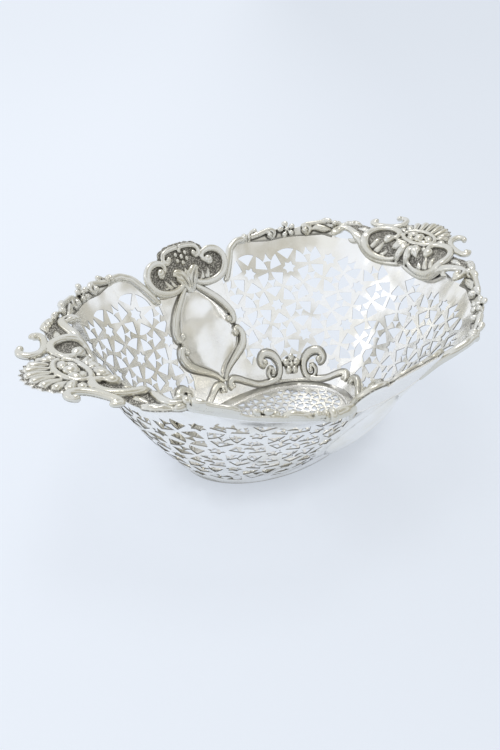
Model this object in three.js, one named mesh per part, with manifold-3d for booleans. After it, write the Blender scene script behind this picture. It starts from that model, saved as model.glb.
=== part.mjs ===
// Oval pierced silver basket: a flaring pierced bowl with soldered cast mounts.
// Millimetres, +Z up, the long axis along X, the origin under the middle of the base.
import * as THREE from 'three';
import { mergeVertices } from 'three/addons/utils/BufferGeometryUtils.js';
import Module from 'manifold-3d';

const wasm = await Module();
wasm.setup();

// Bowl: a base oval, and a wall that leans out from it on every side
const baseLength = 127.5;
const baseWidth = 81;
const wallHeight = 85.5;
const wallFlare = 50.25;
const wallBelly = 4.5;
const sheetThickness = 1.2;
const rimLip = 10;
const lipStartHeight = 45;
const seatGap = 0.3;
const facetAllowance = 0.4;
const probeStep = 0.5;
const weldReach = 0.001;

// Ends of the basket: the wall bends over into a shallow flange
const bendRise = 1.9;
const bendHeight = wallHeight + bendRise;
const flangeReach = 36;
const flangeSlope = THREE.MathUtils.degToRad(13);

// Piercing: rosettes of one star and six fans, on a lattice laid out in the flat
const starSpacing = 27;
const latticeStartAcross = 81.9;
const latticeStartUp = 42.1;
const latticeTilt = THREE.MathUtils.degToRad(-7.4);
const starTip = 4;
const starNotch = 2.6;
const fanApex = 5.8;
const fanReach = 12.3;
const spokeWidth = 2.1;
const cuspReach = 2.9;
const seamBar = 1.8;
const cornerBar = 2.2;

// Base: a plain ring with a raised ridge round a pierced oval well
const baseRingWidth = 9;
const ridgeInset = 6.2;
const ridgeWidth = 2.4;
const ridgeHeight = 1.3;
const baseStarSpacing = 24;

// Wires and cast ornament
const rimWire = 4.2;
const frameWire = 3.8;
const borderWire = 3.2;
const crestWire = 4;
const endWire = 4.2;
const plateThickness = 1.2;
const flowerReach = 5.2;
const petalOverlapShare = 1.1;
const leafLength = 10;
const shellRelief = 4;
const crestHalfWidth = 29.5;
const crestSeatRise = 2.5;
const crestHeight = 26.5;
const crestFoot = 4;
const cartoucheHalfWidth = 26.2;
const borderHeight = 19;
const borderLowHeight = 3.6;
const borderEndHeight = 8.8;

const jointDegrees = 74;
const quarterTurn = Math.PI / 2;
const toRadians = THREE.MathUtils.degToRad;
const wireSides = 5;
const halvings = 40;
const sixth = Math.PI / 3;
const twelfth = Math.PI / 6;

// Rim line by angle: degrees from the long axis, rim height and lip as shares
const rimShares = [
  [0, 1.012, 0.1],
  [24, 1.0, 0.2],
  [30, 1.02, 0.45],
  [36, 1.0, 0.55],
  [44, 0.985, 0.77],
  [50, 0.965, 0.85],
  [59, 0.955, 1.2],
  [63, 0.95, 1.05],
  [66, 0.92, 0.9],
  [68.5, 0.84, 0.6],
  [71, 0.76, 0.45],
  [74, 0.725, 0.4],
  [90, 0.725, 0.4],
];
const notchHeight = wallHeight * rimShares[rimShares.length - 1][1];
const crestLowHeight = notchHeight + crestSeatRise;
const crestTopHeight = crestLowHeight + crestHeight;
const cartoucheLowHeight = borderEndHeight + (borderWire + frameWire) / 2 + seatGap;
const cartoucheTopHeight = crestLowHeight - (crestWire + frameWire) / 2 - seatGap;

// Pierced band by angle: its lowest and highest level as shares of the wall height
const piercedShares = [
  [0, 0.17, 0.84],
  [24, 0.18, 0.9],
  [30, 0.22, 0.985],
  [38, 0.2, 0.95],
  [56, 0.22, 0.93],
  [64, 0.2, 0.89],
  [70, 0.16, 0.83],
  [74, 0.16, 0.79],
];

function lookUp(table, degrees, column) {
  let index = 1;
  while (index < table.length - 1 && table[index][0] < degrees) index += 1;
  const before = table[index - 1];
  const after = table[index];
  const share = THREE.MathUtils.clamp((degrees - before[0]) / (after[0] - before[0]), 0, 1);
  return THREE.MathUtils.lerp(before[column], after[column], share);
}

function quadrantDegrees(angle) {
  return THREE.MathUtils.radToDeg(Math.asin(Math.min(1, Math.abs(Math.sin(angle)))));
}

function growth(height) {
  const share = height / wallHeight;
  return wallFlare * share + wallBelly * Math.sin(Math.PI * THREE.MathUtils.clamp(share, 0, 1));
}

function topHeight(angle) {
  return wallHeight * lookUp(rimShares, quadrantDegrees(angle), 1);
}

function lip(angle, height) {
  const share = THREE.MathUtils.clamp((height - lipStartHeight) / (wallHeight - lipStartHeight), 0, 1);
  return rimLip * lookUp(rimShares, quadrantDegrees(angle), 2) * share * share;
}

// Plan point of the base oval and its outward direction at an angle
function basePoint(angle) {
  const x = (baseLength / 2) * Math.cos(angle);
  const y = (baseWidth / 2) * Math.sin(angle);
  return new THREE.Vector2(x, y);
}

function baseNormal(angle) {
  return new THREE.Vector2(baseWidth * Math.cos(angle), baseLength * Math.sin(angle)).normalize();
}

// A point of the wall's middle surface, moved out by lift along the wall's own normal
function wallPoint(angle, height, lift = 0) {
  const base = basePoint(angle);
  const out = baseNormal(angle);
  const here = growth(height) + lip(angle, height);
  const above = growth(height + probeStep) + lip(angle, height + probeStep);
  const slope = (above - here) / probeStep;
  const norm = Math.hypot(1, slope);
  const reach = here + lift / norm;
  return new THREE.Vector3(base.x + out.x * reach, base.y + out.y * reach, height - (lift * slope) / norm);
}

// The same for the ends: run is measured from the bend, out along the flange or down the wall
function endPoint(angle, run, lift = 0) {
  if (run < 0) return wallPoint(angle, bendHeight + run * riseShare, -lift);
  const base = basePoint(angle);
  const out = baseNormal(angle);
  const along = growth(bendHeight) + run * Math.cos(flangeSlope) - lift * Math.sin(flangeSlope);
  const height = bendHeight + run * Math.sin(flangeSlope) + lift * Math.cos(flangeSlope);
  return new THREE.Vector3(base.x + out.x * along, base.y + out.y * along, height);
}

const wallSlant = Math.hypot(wallHeight, wallFlare);
const riseShare = wallHeight / wallSlant;
const turnShare = wallFlare / wallSlant;

// The wall laid flat: the base line of one quarter, unrolled from the short axis
const flatLine = [];
const flatSteps = 180;
let flatX = 0;
let flatY = 0;
for (let step = 0; step <= flatSteps; step += 1) {
  const angle = quarterTurn * (1 - step / flatSteps);
  const out = baseNormal(angle);
  const turn = (quarterTurn - Math.atan2(out.y, out.x)) * turnShare;
  if (step > 0) {
    const arc = basePoint(angle).distanceTo(basePoint(angle + quarterTurn / flatSteps));
    flatX += arc * Math.cos(turn);
    flatY -= arc * Math.sin(turn);
  }
  flatLine.push({ angle, x: flatX, y: flatY, turn });
}

function flatAt(angle) {
  const place = THREE.MathUtils.clamp((1 - angle / quarterTurn) * flatSteps, 0, flatSteps);
  const low = Math.min(flatSteps - 1, Math.floor(place));
  const share = place - low;
  const a = flatLine[low];
  const b = flatLine[low + 1];
  const mix = (key) => THREE.MathUtils.lerp(a[key], b[key], share);
  return { angle, x: mix('x'), y: mix('y'), turn: mix('turn') };
}

function toFlat(angle, height) {
  const foot = flatAt(angle);
  const slant = height / riseShare;
  const x = foot.x + slant * Math.sin(foot.turn);
  const y = foot.y + slant * Math.cos(foot.turn);
  return { x, y, angle, height };
}

// The wall place of a flat point: halving finds the base point square under it
function fromFlat(x, y) {
  let low = 0;
  let high = quarterTurn;
  for (let turn = 0; turn < halvings; turn += 1) {
    const middle = (low + high) / 2;
    const foot = flatAt(middle);
    const past = (x - foot.x) * Math.cos(foot.turn) - (y - foot.y) * Math.sin(foot.turn);
    if (past > 0) high = middle;
    else low = middle;
  }
  const foot = flatAt((low + high) / 2);
  const slant = (x - foot.x) * Math.sin(foot.turn) + (y - foot.y) * Math.cos(foot.turn);
  return { x, y, angle: foot.angle, height: slant * riseShare };
}

// Hole outlines of one rosette and one cusp, round a lattice point
function starOutline(x, y, tilt, tip, notch) {
  const points = [];
  const cornerCount = 12;
  for (let corner = 0; corner < cornerCount; corner += 1) {
    const radius = corner % 2 === 0 ? tip : notch;
    const angle = tilt + corner * twelfth;
    points.push([x + radius * Math.cos(angle), y + radius * Math.sin(angle)]);
  }
  return points;
}

function fanOutline(x, y, direction, apex, reach, spoke) {
  const half = twelfth - Math.asin(spoke / 2 / reach);
  const polar = (radius, angle) => [x + radius * Math.cos(angle), y + radius * Math.sin(angle)];
  return [
    polar(apex, direction),
    polar(reach, direction - half),
    polar(reach, direction),
    polar(reach, direction + half),
  ];
}

function cuspOutline(x, y, direction, reach) {
  const points = [];
  const cornerCount = 3;
  for (let corner = 0; corner < cornerCount; corner += 1) {
    const angle = direction + corner * 2 * sixth;
    points.push([x + reach * Math.cos(angle), y + reach * Math.sin(angle)]);
  }
  return points;
}

// All hole outlines of a lattice that covers a given half extent
function latticeOutlines(spacing, startX, startY, tilt, count) {
  const scale = spacing / starSpacing;
  const outlines = [];
  const fanCount = 6;
  for (let row = -count; row <= count; row += 1) {
    for (let column = -count; column <= count; column += 1) {
      const along = (column + row / 2) * spacing;
      const across = (row * Math.sqrt(3) * spacing) / 2;
      const x = startX + along * Math.cos(tilt) - across * Math.sin(tilt);
      const y = startY + along * Math.sin(tilt) + across * Math.cos(tilt);
      outlines.push(starOutline(x, y, tilt, starTip * scale, starNotch * scale));
      for (let fan = 0; fan < fanCount; fan += 1) {
        const direction = tilt + twelfth + fan * sixth;
        const sizes = [fanApex, fanReach, spokeWidth].map((size) => size * scale);
        outlines.push(fanOutline(x, y, direction, ...sizes));
      }
      for (const direction of [tilt + twelfth, tilt + twelfth + sixth]) {
        const reach = spacing / Math.sqrt(3);
        const cx = x + reach * Math.cos(direction);
        const cy = y + reach * Math.sin(direction);
        outlines.push(cuspOutline(cx, cy, direction + sixth, cuspReach * scale));
      }
    }
  }
  return outlines;
}

// Flips the shared edge of two flat triangles where that makes them rounder
const flipRounds = 40;
const slimShare = 0.001;
const angleSlack = 1e-6;

function evenOut(points, faces) {
  const area = (a, b, c) => (b.x - a.x) * (c.y - a.y) - (b.y - a.y) * (c.x - a.x);
  const angleAt = (a, b, c) => {
    const ab = new THREE.Vector2(b.x - a.x, b.y - a.y).normalize();
    const ac = new THREE.Vector2(c.x - a.x, c.y - a.y).normalize();
    return Math.acos(THREE.MathUtils.clamp(ab.dot(ac), -1, 1));
  };
  let flipped = true;
  for (let round = 0; flipped && round < flipRounds; round += 1) {
    flipped = false;
    const edges = new Map();
    faces.forEach((face, index) => {
      for (let k = 0; k < 3; k += 1) {
        const ends = [face[k], face[(k + 1) % 3]];
        const key = `${Math.min(...ends)}_${Math.max(...ends)}`;
        if (!edges.has(key)) edges.set(key, []);
        edges.get(key).push([index, k]);
      }
    });
    const touched = new Set();
    for (const users of edges.values()) {
      if (users.length !== 2) continue;
      const [[f, k], [g, m]] = users;
      if (touched.has(f) || touched.has(g)) continue;
      const a = faces[f][k];
      const b = faces[f][(k + 1) % 3];
      const c = faces[f][(k + 2) % 3];
      const d = faces[g][(m + 2) % 3];
      const [A, B, C, D] = [a, b, c, d].map((i) => points[i]);
      const tiny = probeStep * probeStep * slimShare;
      if (area(C, A, D) <= tiny || area(C, D, B) <= tiny) continue;
      if (angleAt(C, A, B) + angleAt(D, A, B) <= Math.PI + angleSlack) continue;
      faces[f] = [c, a, d];
      faces[g] = [c, d, b];
      touched.add(f);
      touched.add(g);
      flipped = true;
    }
  }
}

// A closed sheet from a flat outline with holes: place(point, side) gives each skin's point
function piercedSheet(contour, holes, place, isSeam) {
  const toVector = (p) => new THREE.Vector2(p.x, p.y);
  const flatHoles = holes.map((hole) => hole.map(toVector));
  const faces = THREE.ShapeUtils.triangulateShape(contour.map(toVector), flatHoles);
  const points = contour.concat(...holes);
  const triangles = faces.map((face) => {
    const [a, b, c] = face.map((i) => points[i]);
    const area = (b.x - a.x) * (c.y - a.y) - (b.y - a.y) * (c.x - a.x);
    return area > 0 ? [...face] : [face[0], face[2], face[1]];
  });
  evenOut(points, triangles);
  const positions = [];
  points.forEach((p) => positions.push(...place(p, 1).toArray()));
  points.forEach((p) => positions.push(...place(p, -1).toArray()));
  const count = points.length;
  const used = new Set();
  const index = [];
  triangles.forEach(([a, b, c]) => {
    index.push(a, b, c, a + count, c + count, b + count);
    used.add(`${a}_${b}`).add(`${b}_${c}`).add(`${c}_${a}`);
  });
  used.forEach((key) => {
    const [a, b] = key.split('_').map(Number);
    if (used.has(`${b}_${a}`)) return;
    if (isSeam(points[a]) && isSeam(points[b])) return;
    index.push(b, a, a + count, b, a + count, b + count);
  });
  const geometry = new THREE.BufferGeometry();
  geometry.setAttribute('position', new THREE.Float32BufferAttribute(positions, 3));
  geometry.setIndex(index);
  return geometry;
}

// Mirrored copy with its faces turned back out
function mirrored(geometry, x, y) {
  const copy = geometry.clone().scale(x, y, 1);
  if (x * y < 0) {
    const index = copy.getIndex();
    for (let i = 0; i < index.count; i += 3) {
      const keep = index.getX(i + 1);
      index.setX(i + 1, index.getX(i + 2));
      index.setX(i + 2, keep);
    }
  }
  return copy;
}

function joined(...geometries) {
  const positions = [];
  const index = [];
  geometries.forEach((geometry) => {
    const start = positions.length / 3;
    positions.push(...geometry.getAttribute('position').array);
    index.push(...Array.from(geometry.getIndex().array, (i) => i + start));
  });
  const whole = new THREE.BufferGeometry();
  whole.setAttribute('position', new THREE.Float32BufferAttribute(positions, 3));
  whole.setIndex(index);
  return mergeVertices(whole, weldReach);
}

// Solids for joining
function toSolid(geometry) {
  const bare = geometry.clone();
  bare.deleteAttribute('normal');
  bare.deleteAttribute('uv');
  const merged = mergeVertices(bare, weldReach / 10);
  const vertProperties = new Float32Array(merged.getAttribute('position').array);
  const triVerts = new Uint32Array(merged.getIndex().array);
  return new wasm.Manifold(new wasm.Mesh({ numProp: 3, vertProperties, triVerts }));
}

function toGeometry(solid) {
  const mesh = solid.getMesh();
  const geometry = new THREE.BufferGeometry();
  geometry.setAttribute('position', new THREE.BufferAttribute(mesh.vertProperties, 3));
  geometry.setIndex(new THREE.BufferAttribute(mesh.triVerts, 1));
  return geometry;
}

function fused(geometries) {
  return toGeometry(geometries.map(toSolid).reduce((whole, next) => whole.add(next)));
}

// A closed sheet over a grid of two shares, each 0 to 1, with skins given by surface(u, v, side)
function gridSheet(surface, across, up) {
  const positions = [];
  const index = [];
  for (const side of [1, -1]) {
    for (let j = 0; j <= up; j += 1) {
      for (let i = 0; i <= across; i += 1) {
        positions.push(...surface(i / across, j / up, side).toArray());
      }
    }
  }
  const row = across + 1;
  const skin = row * (up + 1);
  const quad = (a, b, c, d) => index.push(a, b, c, a, c, d);
  for (let j = 0; j < up; j += 1) {
    for (let i = 0; i < across; i += 1) {
      const a = j * row + i;
      quad(a, a + 1, a + 1 + row, a + row);
      quad(skin + a, skin + a + row, skin + a + row + 1, skin + a + 1);
    }
  }
  for (let i = 0; i < across; i += 1) {
    const top = up * row + i;
    quad(i + 1, i, skin + i, skin + i + 1);
    quad(top, top + 1, skin + top + 1, skin + top);
  }
  for (let j = 0; j < up; j += 1) {
    const left = j * row;
    const right = left + across;
    quad(left, left + row, skin + left + row, skin + left);
    quad(right + row, right, skin + right, skin + right + row);
  }
  const geometry = new THREE.BufferGeometry();
  geometry.setAttribute('position', new THREE.Float32BufferAttribute(positions, 3));
  geometry.setIndex(index);
  return geometry;
}

// A wire along a path of {point, normal}, oval in section, with its ends drawn in by taper
function wire(path, width, height, taperShare = 1) {
  const positions = [];
  const index = [];
  const last = path.length - 1;
  path.forEach(({ point, normal, swell = 1 }, i) => {
    const before = path[Math.max(0, i - 1)].point;
    const after = path[Math.min(last, i + 1)].point;
    const tangent = after.clone().sub(before).normalize();
    const side = tangent.clone().cross(normal).normalize();
    const up = side.clone().cross(tangent);
    const size = (i === 0 || i === last ? taperShare : 1) * swell;
    for (let k = 0; k < wireSides; k += 1) {
      const angle = (k * 2 * Math.PI) / wireSides;
      const ring = point.clone();
      ring.addScaledVector(side, (width / 2) * size * Math.cos(angle));
      ring.addScaledVector(up, (height / 2) * size * Math.sin(angle));
      positions.push(...ring.toArray());
    }
  });
  for (let i = 0; i < last; i += 1) {
    for (let k = 0; k < wireSides; k += 1) {
      const a = i * wireSides + k;
      const b = i * wireSides + ((k + 1) % wireSides);
      index.push(a, a + wireSides, b, b, a + wireSides, b + wireSides);
    }
  }
  const end = last * wireSides;
  for (let k = 1; k < wireSides - 1; k += 1) {
    index.push(0, k, k + 1);
    index.push(end, end + k + 1, end + k);
  }
  const geometry = new THREE.BufferGeometry();
  geometry.setAttribute('position', new THREE.Float32BufferAttribute(positions, 3));
  geometry.setIndex(index);
  return geometry;
}

// A rounded lump, such as a petal, a bud or a bead: three half sizes along three directions
const lumpSideCount = 5;
const lumpRingCount = 3;

function lump(point, along, normal, length, width, height) {
  const x = along.clone().addScaledVector(normal, -along.dot(normal)).normalize();
  const y = normal.clone().cross(x);
  const geometry = new THREE.SphereGeometry(1, lumpSideCount, lumpRingCount);
  geometry.deleteAttribute('normal');
  geometry.deleteAttribute('uv');
  geometry.rotateX(quarterTurn);
  geometry.scale(length / 2, width / 2, height / 2);
  geometry.applyMatrix4(new THREE.Matrix4().makeBasis(x, y, normal).setPosition(point));
  return geometry;
}

// Petals round a middle, in the plane square to the normal
function flower(middle, first, normal, reach, height) {
  const start = first.clone().addScaledVector(normal, -first.dot(normal)).normalize();
  const petalCount = 5;
  return Array.from({ length: petalCount }, (unused, petal) => {
    const outward = start.clone().applyAxisAngle(normal, (petal * 2 * Math.PI) / petalCount);
    const spot = middle.clone().addScaledVector(outward, reach / 2);
    const width = reach * petalOverlapShare;
    return lump(spot, outward, normal, width, width, height);
  });
}

// Paths on the inside of the wall and on the end flange
const wireSeat = sheetThickness / 2 + seatGap + facetAllowance;

function smoothPath(pairs, steps) {
  const curve = new THREE.SplineCurve(pairs.map(([u, v]) => new THREE.Vector2(u, v)));
  return curve.getPoints(steps);
}

function wallPath(pairs, steps, thickness) {
  return smoothPath(pairs, steps).map(({ x: degrees, y: height }) => {
    const angle = toRadians(degrees);
    const point = wallPoint(angle, height, -wireSeat - thickness / 2);
    const normal = wallPoint(angle, height, -thickness).sub(wallPoint(angle, height)).normalize();
    return { point, normal };
  });
}

function endPath(pairs, steps, lift) {
  return smoothPath(pairs, steps).map(({ x: degrees, y: run }) => {
    const angle = toRadians(degrees);
    const point = endPoint(angle, run, lift);
    const normal = endPoint(angle, run, lift + probeStep).sub(endPoint(angle, run, lift)).normalize();
    return { point, normal };
  });
}

// The wall angle, in degrees, of a place at a given distance from the short axis
function degreesAtSide(distance, height) {
  let low = 0;
  let high = quarterTurn;
  for (let turn = 0; turn < halvings; turn += 1) {
    const middle = (low + high) / 2;
    if (wallPoint(middle, height).x > Math.abs(distance)) low = middle;
    else high = middle;
  }
  const degrees = THREE.MathUtils.radToDeg((low + high) / 2);
  return distance < 0 ? 180 - degrees : degrees;
}

// Pierced end walls: each wraps one end of the basket, from cartouche to cartouche
const wallBottom = sheetThickness + seatGap;
const aroundSteps = 32;
const sideSteps = 5;
const seamSteps = 6;
const wallLatticeCount = 6;

function isPierceable(outline) {
  return outline.every(({ angle, height }) => {
    const degrees = THREE.MathUtils.radToDeg(angle);
    const low = lookUp(piercedShares, degrees, 1) * wallHeight;
    const high = lookUp(piercedShares, degrees, 2) * wallHeight;
    if (height < low || height > high) return false;
    const place = wallPoint(angle, height);
    if (place.y < seamBar) return false;
    return place.x > wallPoint(toRadians(jointDegrees), height).x + cornerBar;
  });
}

function endWall() {
  const joint = toRadians(jointDegrees);
  const contour = [];
  for (let i = 0; i <= aroundSteps; i += 1) {
    contour.push(toFlat((joint * i) / aroundSteps, wallBottom));
  }
  for (let i = 1; i < sideSteps; i += 1) {
    contour.push(toFlat(joint, THREE.MathUtils.lerp(wallBottom, topHeight(joint), i / sideSteps)));
  }
  for (let i = aroundSteps; i >= 0; i -= 1) {
    const angle = (joint * i) / aroundSteps;
    contour.push(toFlat(angle, topHeight(angle)));
  }
  for (let i = seamSteps - 1; i > 0; i -= 1) {
    contour.push(toFlat(0, THREE.MathUtils.lerp(wallBottom, topHeight(0), i / seamSteps)));
  }
  const outlines = latticeOutlines(
    starSpacing,
    latticeStartAcross,
    latticeStartUp,
    latticeTilt,
    wallLatticeCount,
  );
  const mapped = outlines.map((outline) => outline.map(([x, y]) => fromFlat(x, y)));
  const holes = mapped.filter(isPierceable);
  const place = ({ angle, height }, side) => wallPoint(angle, height, (-side * sheetThickness) / 2);
  const half = piercedSheet(contour, holes, place, (p) => p.angle === 0);
  return joined(half, mirrored(half, 1, -1));
}

// Plain panel behind each cartouche, between the two end walls
const panelColumnCount = 6;
const panelRowCount = 5;

function cartouchePanel() {
  const joint = toRadians(jointDegrees) + seatGap / (baseLength / 2);
  const surface = (u, v, side) => {
    const angle = THREE.MathUtils.lerp(Math.PI - joint, joint, u);
    const height = THREE.MathUtils.lerp(wallBottom, crestLowHeight + crestFoot, v);
    return wallPoint(angle, height, (-side * sheetThickness) / 2);
  };
  return gridSheet(surface, panelColumnCount, panelRowCount);
}

// Base plate: pierced oval with a raised ridge
const plateSteps = 36;
const ridgeSteps = 2;
const baseLatticeCount = 4;

function basePlate() {
  const oval = (inset, steps) => {
    const points = [];
    for (let i = 0; i < steps; i += 1) {
      const angle = (i * 2 * Math.PI) / steps;
      const base = basePoint(angle);
      const out = baseNormal(angle);
      points.push({ x: base.x - out.x * inset, y: base.y - out.y * inset });
    }
    return points;
  };
  const inWell = ({ x, y }) => {
    const shareX = x / (baseLength / 2 - baseRingWidth);
    const shareY = y / (baseWidth / 2 - baseRingWidth);
    return shareX * shareX + shareY * shareY < 1;
  };
  const outlines = latticeOutlines(baseStarSpacing, 0, 0, 0, baseLatticeCount);
  const mapped = outlines.map((outline) => outline.map(([x, y]) => ({ x, y })));
  const holes = mapped.filter((hole) => hole.every(inWell));
  const place = ({ x, y }, side) => new THREE.Vector3(x, y, side > 0 ? sheetThickness : 0);
  const plate = piercedSheet(oval(0, plateSteps), holes, place, () => false);
  const ridge = (u, v, side) => {
    const angle = u * 2 * Math.PI;
    const base = basePoint(angle);
    const out = baseNormal(angle);
    const inset = ridgeInset + (v - 1 / 2) * ridgeWidth;
    const low = sheetThickness / 2;
    const rise = sheetThickness + ridgeHeight * Math.sin(Math.PI * v);
    return new THREE.Vector3(base.x - out.x * inset, base.y - out.y * inset, side > 0 ? rise : low);
  };
  return fused([plate, closedRing(ridge, plateSteps, ridgeSteps)]);
}

// A grid sheet whose first and last columns meet
function closedRing(surface, around, across) {
  const positions = [];
  const index = [];
  const row = across + 1;
  for (const side of [1, -1]) {
    for (let i = 0; i < around; i += 1) {
      for (let j = 0; j <= across; j += 1) {
        positions.push(...surface(i / around, j / across, side).toArray());
      }
    }
  }
  const skin = around * row;
  const quad = (a, b, c, d) => index.push(a, b, c, a, c, d);
  for (let i = 0; i < around; i += 1) {
    const next = ((i + 1) % around) * row;
    const here = i * row;
    for (let j = 0; j < across; j += 1) {
      quad(here + j, next + j, next + j + 1, here + j + 1);
      quad(skin + here + j, skin + here + j + 1, skin + next + j + 1, skin + next + j);
    }
    quad(here, skin + here, skin + next, next);
    quad(here + across, next + across, skin + next + across, skin + here + across);
  }
  const geometry = new THREE.BufferGeometry();
  geometry.setAttribute('position', new THREE.Float32BufferAttribute(positions, 3));
  geometry.setIndex(index);
  return geometry;
}

// Cartouche frame: two strokes a side, meeting at the waist, curled at their ends
const frameUpperShares = [
  [0, 1],
  [0.25, 0.92],
  [0.48, 0.83],
  [0.7, 0.76],
  [0.9, 0.68],
  [1, 0.57],
  [0.9, 0.475],
  [0.7, 0.48],
  [0.66, 0.55],
];
const frameLowerShares = [
  [0.72, 0.4],
  [0.88, 0.44],
  [1.05, 0.43],
  [1.14, 0.34],
  [1.0, 0.23],
  [0.66, 0.16],
  [0.34, 0.085],
  [0, 0],
];

const frameSteps = 9;

function sidePairs(shares, halfWidth, low, top, sign) {
  return shares.map(([across, up]) => {
    const height = THREE.MathUtils.lerp(low, top, up);
    return [degreesAtSide(sign * across * halfWidth, height), height];
  });
}

function cartoucheFrame() {
  const strokes = [];
  for (const sign of [1, -1]) {
    for (const shares of [frameUpperShares, frameLowerShares]) {
      const span = [cartoucheHalfWidth, cartoucheLowHeight, cartoucheTopHeight];
      const pairs = sidePairs(shares, ...span, sign);
      strokes.push(wire(wallPath(pairs, frameSteps, frameWire), frameWire, frameWire, 1));
    }
  }
  return fused(strokes);
}

// Crest: a chased plate on top of the long side, with two scroll rings, a fan and berries
const crestScrollShares = [
  [0.12, 0.02],
  [0.5, 0.0],
  [0.8, 0.1],
  [0.96, 0.28],
  [1.0, 0.5],
  [0.93, 0.75],
  [0.74, 0.86],
  [0.6, 0.74],
  [0.66, 0.6],
];
const crestFanShares = [
  [0.62, 0.84],
  [0.5, 0.98],
  [0.25, 1.06],
  [0, 1.09],
];
const crestPlateShares = [0.9, 0.62];
const crestRingSteps = 11;
const crestFanSteps = 4;
const crestFanWidthShare = 1.5;
const wireEndShare = 0.8;
const berryHeightShares = [0.8, 0.64];
const plateColumnCount = 4;
const plateRowCount = 2;

function crest() {
  const plate = (u, v, side) => {
    const height = THREE.MathUtils.lerp(crestLowHeight, crestTopHeight, v);
    const half = crestHalfWidth * THREE.MathUtils.lerp(...crestPlateShares, v);
    const degrees = degreesAtSide(THREE.MathUtils.lerp(-half, half, u), height);
    return wallPoint(toRadians(degrees), height, -wireSeat - (side > 0 ? plateThickness : 0));
  };
  const pieces = [gridSheet(plate, plateColumnCount, plateRowCount)];
  const seat = wireSeat + plateThickness / 2;
  const lifted = (pairs, steps) =>
    wallPath(pairs, steps, crestWire).map(({ point, normal }) => ({
      point: point.clone().addScaledVector(normal, seat - wireSeat),
      normal,
    }));
  for (const sign of [1, -1]) {
    const ring = sidePairs(crestScrollShares, crestHalfWidth, crestLowHeight, crestTopHeight, sign);
    pieces.push(wire(lifted(ring, crestRingSteps), crestWire, crestWire, wireEndShare));
    const fan = sidePairs(crestFanShares, crestHalfWidth, crestLowHeight, crestTopHeight, sign);
    const fanWidth = crestWire * crestFanWidthShare;
    pieces.push(wire(lifted(fan, crestFanSteps), fanWidth, crestWire, 1));
  }
  for (let berry = -2; berry <= 2; berry += 1) {
    const up = berryHeightShares[Math.abs(berry % 2)];
    const height = THREE.MathUtils.lerp(crestLowHeight, crestTopHeight, up);
    const degrees = degreesAtSide((berry * crestWire) / 2, height);
    const [spot] = lifted([[degrees, height], [degrees, height + probeStep]], 1);
    pieces.push(lump(spot.point, new THREE.Vector3(1, 0, 0), spot.normal, crestWire, crestWire, crestWire));
  }
  return fused(pieces);
}

// Rim border of one lobe: a wire on the wall's edge, swelling into buds, with a flower between
const budHalfDegrees = 1.8;
const probeDegrees = 0.5;
const rimStartDegrees = 26;
const rimEndDegrees = 71.8;
const rimFlowerDegrees = 43.6;
const rimSteps = 24;
const rimBudShares = [
  [30, 0.35],
  [36, 0.55],
  [50, 0.55],
  [59, 0.35],
];

function rimBorder() {
  const path = [];
  for (let i = 0; i <= rimSteps; i += 1) {
    const angle = toRadians(THREE.MathUtils.lerp(rimStartDegrees, rimEndDegrees, i / rimSteps));
    const nudge = toRadians(probeDegrees);
    const here = wallPoint(angle, topHeight(angle));
    const ahead = wallPoint(angle + nudge, topHeight(angle + nudge));
    const tangent = ahead.clone().sub(here).normalize();
    const normal = wallPoint(angle, topHeight(angle), -probeStep).sub(here).normalize();
    const away = tangent.clone().cross(normal).normalize();
    const swell = 1 + rimBudShares.reduce((sum, [degrees, share]) => {
      const distance = (THREE.MathUtils.radToDeg(angle) - degrees) / budHalfDegrees;
      return sum + share * Math.exp(-distance * distance);
    }, 0);
    const point = here.addScaledVector(away, (rimWire * swell) / 2 + seatGap + facetAllowance);
    path.push({ point, normal, tangent, angle, swell });
  }
  const pieces = [wire(path, rimWire, rimWire, 1)];
  const flowerAngle = toRadians(rimFlowerDegrees);
  const distance = (item) => Math.abs(item.angle - flowerAngle);
  const middle = path.reduce((best, item) => (distance(item) < distance(best) ? item : best));
  const raised = middle.point.clone().addScaledVector(middle.normal, wireSeat + rimWire / 2);
  pieces.push(...flower(raised, middle.tangent, middle.normal, flowerReach, rimWire));
  return fused(pieces);
}

// Inner base border of one quarter: a chain of scrolls with a flower, on the foot of the wall
const borderMiddleDegrees = 45.5;
const borderStrokeShares = [
  [5.4, 0.14],
  [3.8, 0.03],
  [2.3, 0.13],
  [3.8, 0.26],
  [8, 0.25],
  [14, 0.19],
  [20, 0.11],
  [26, 0.04],
  [31, 0.0],
  [36, 0.12],
  [38.6, 0.36],
  [37.6, 0.66],
  [33.5, 0.9],
  [29, 0.96],
  [25.4, 0.84],
  [24.6, 0.62],
  [27, 0.48],
  [29.6, 0.56],
  [29, 0.68],
];
const borderLineShares = [
  [31, 0.0],
  [38, 0.02],
  [45.5, 0.06],
];
const borderStrokeSteps = 18;
const borderLineSteps = 2;
const borderFlowerShare = 0.38;

function baseBorder() {
  const pieces = [];
  const low = borderLowHeight + borderWire / 2;
  for (const side of [0, 1]) {
    const place = ([degrees, up]) => [
      side === 0 ? degrees : 2 * borderMiddleDegrees - degrees,
      THREE.MathUtils.lerp(low, borderHeight, up),
    ];
    const stroke = (shares, steps, end) =>
      wire(wallPath(shares.map(place), steps, borderWire), borderWire, borderWire, end);
    pieces.push(stroke(borderStrokeShares, borderStrokeSteps, wireEndShare));
    pieces.push(stroke(borderLineShares, borderLineSteps, 1));
  }
  const height = THREE.MathUtils.lerp(low, borderHeight, borderFlowerShare);
  const upright = [
    [borderMiddleDegrees, height],
    [borderMiddleDegrees, height + probeStep],
  ];
  const [spot] = wallPath(upright, 1, borderWire);
  pieces.push(...flower(spot.point, new THREE.Vector3(0, 0, -1), spot.normal, flowerReach, borderWire));
  return fused(pieces);
}

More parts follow.
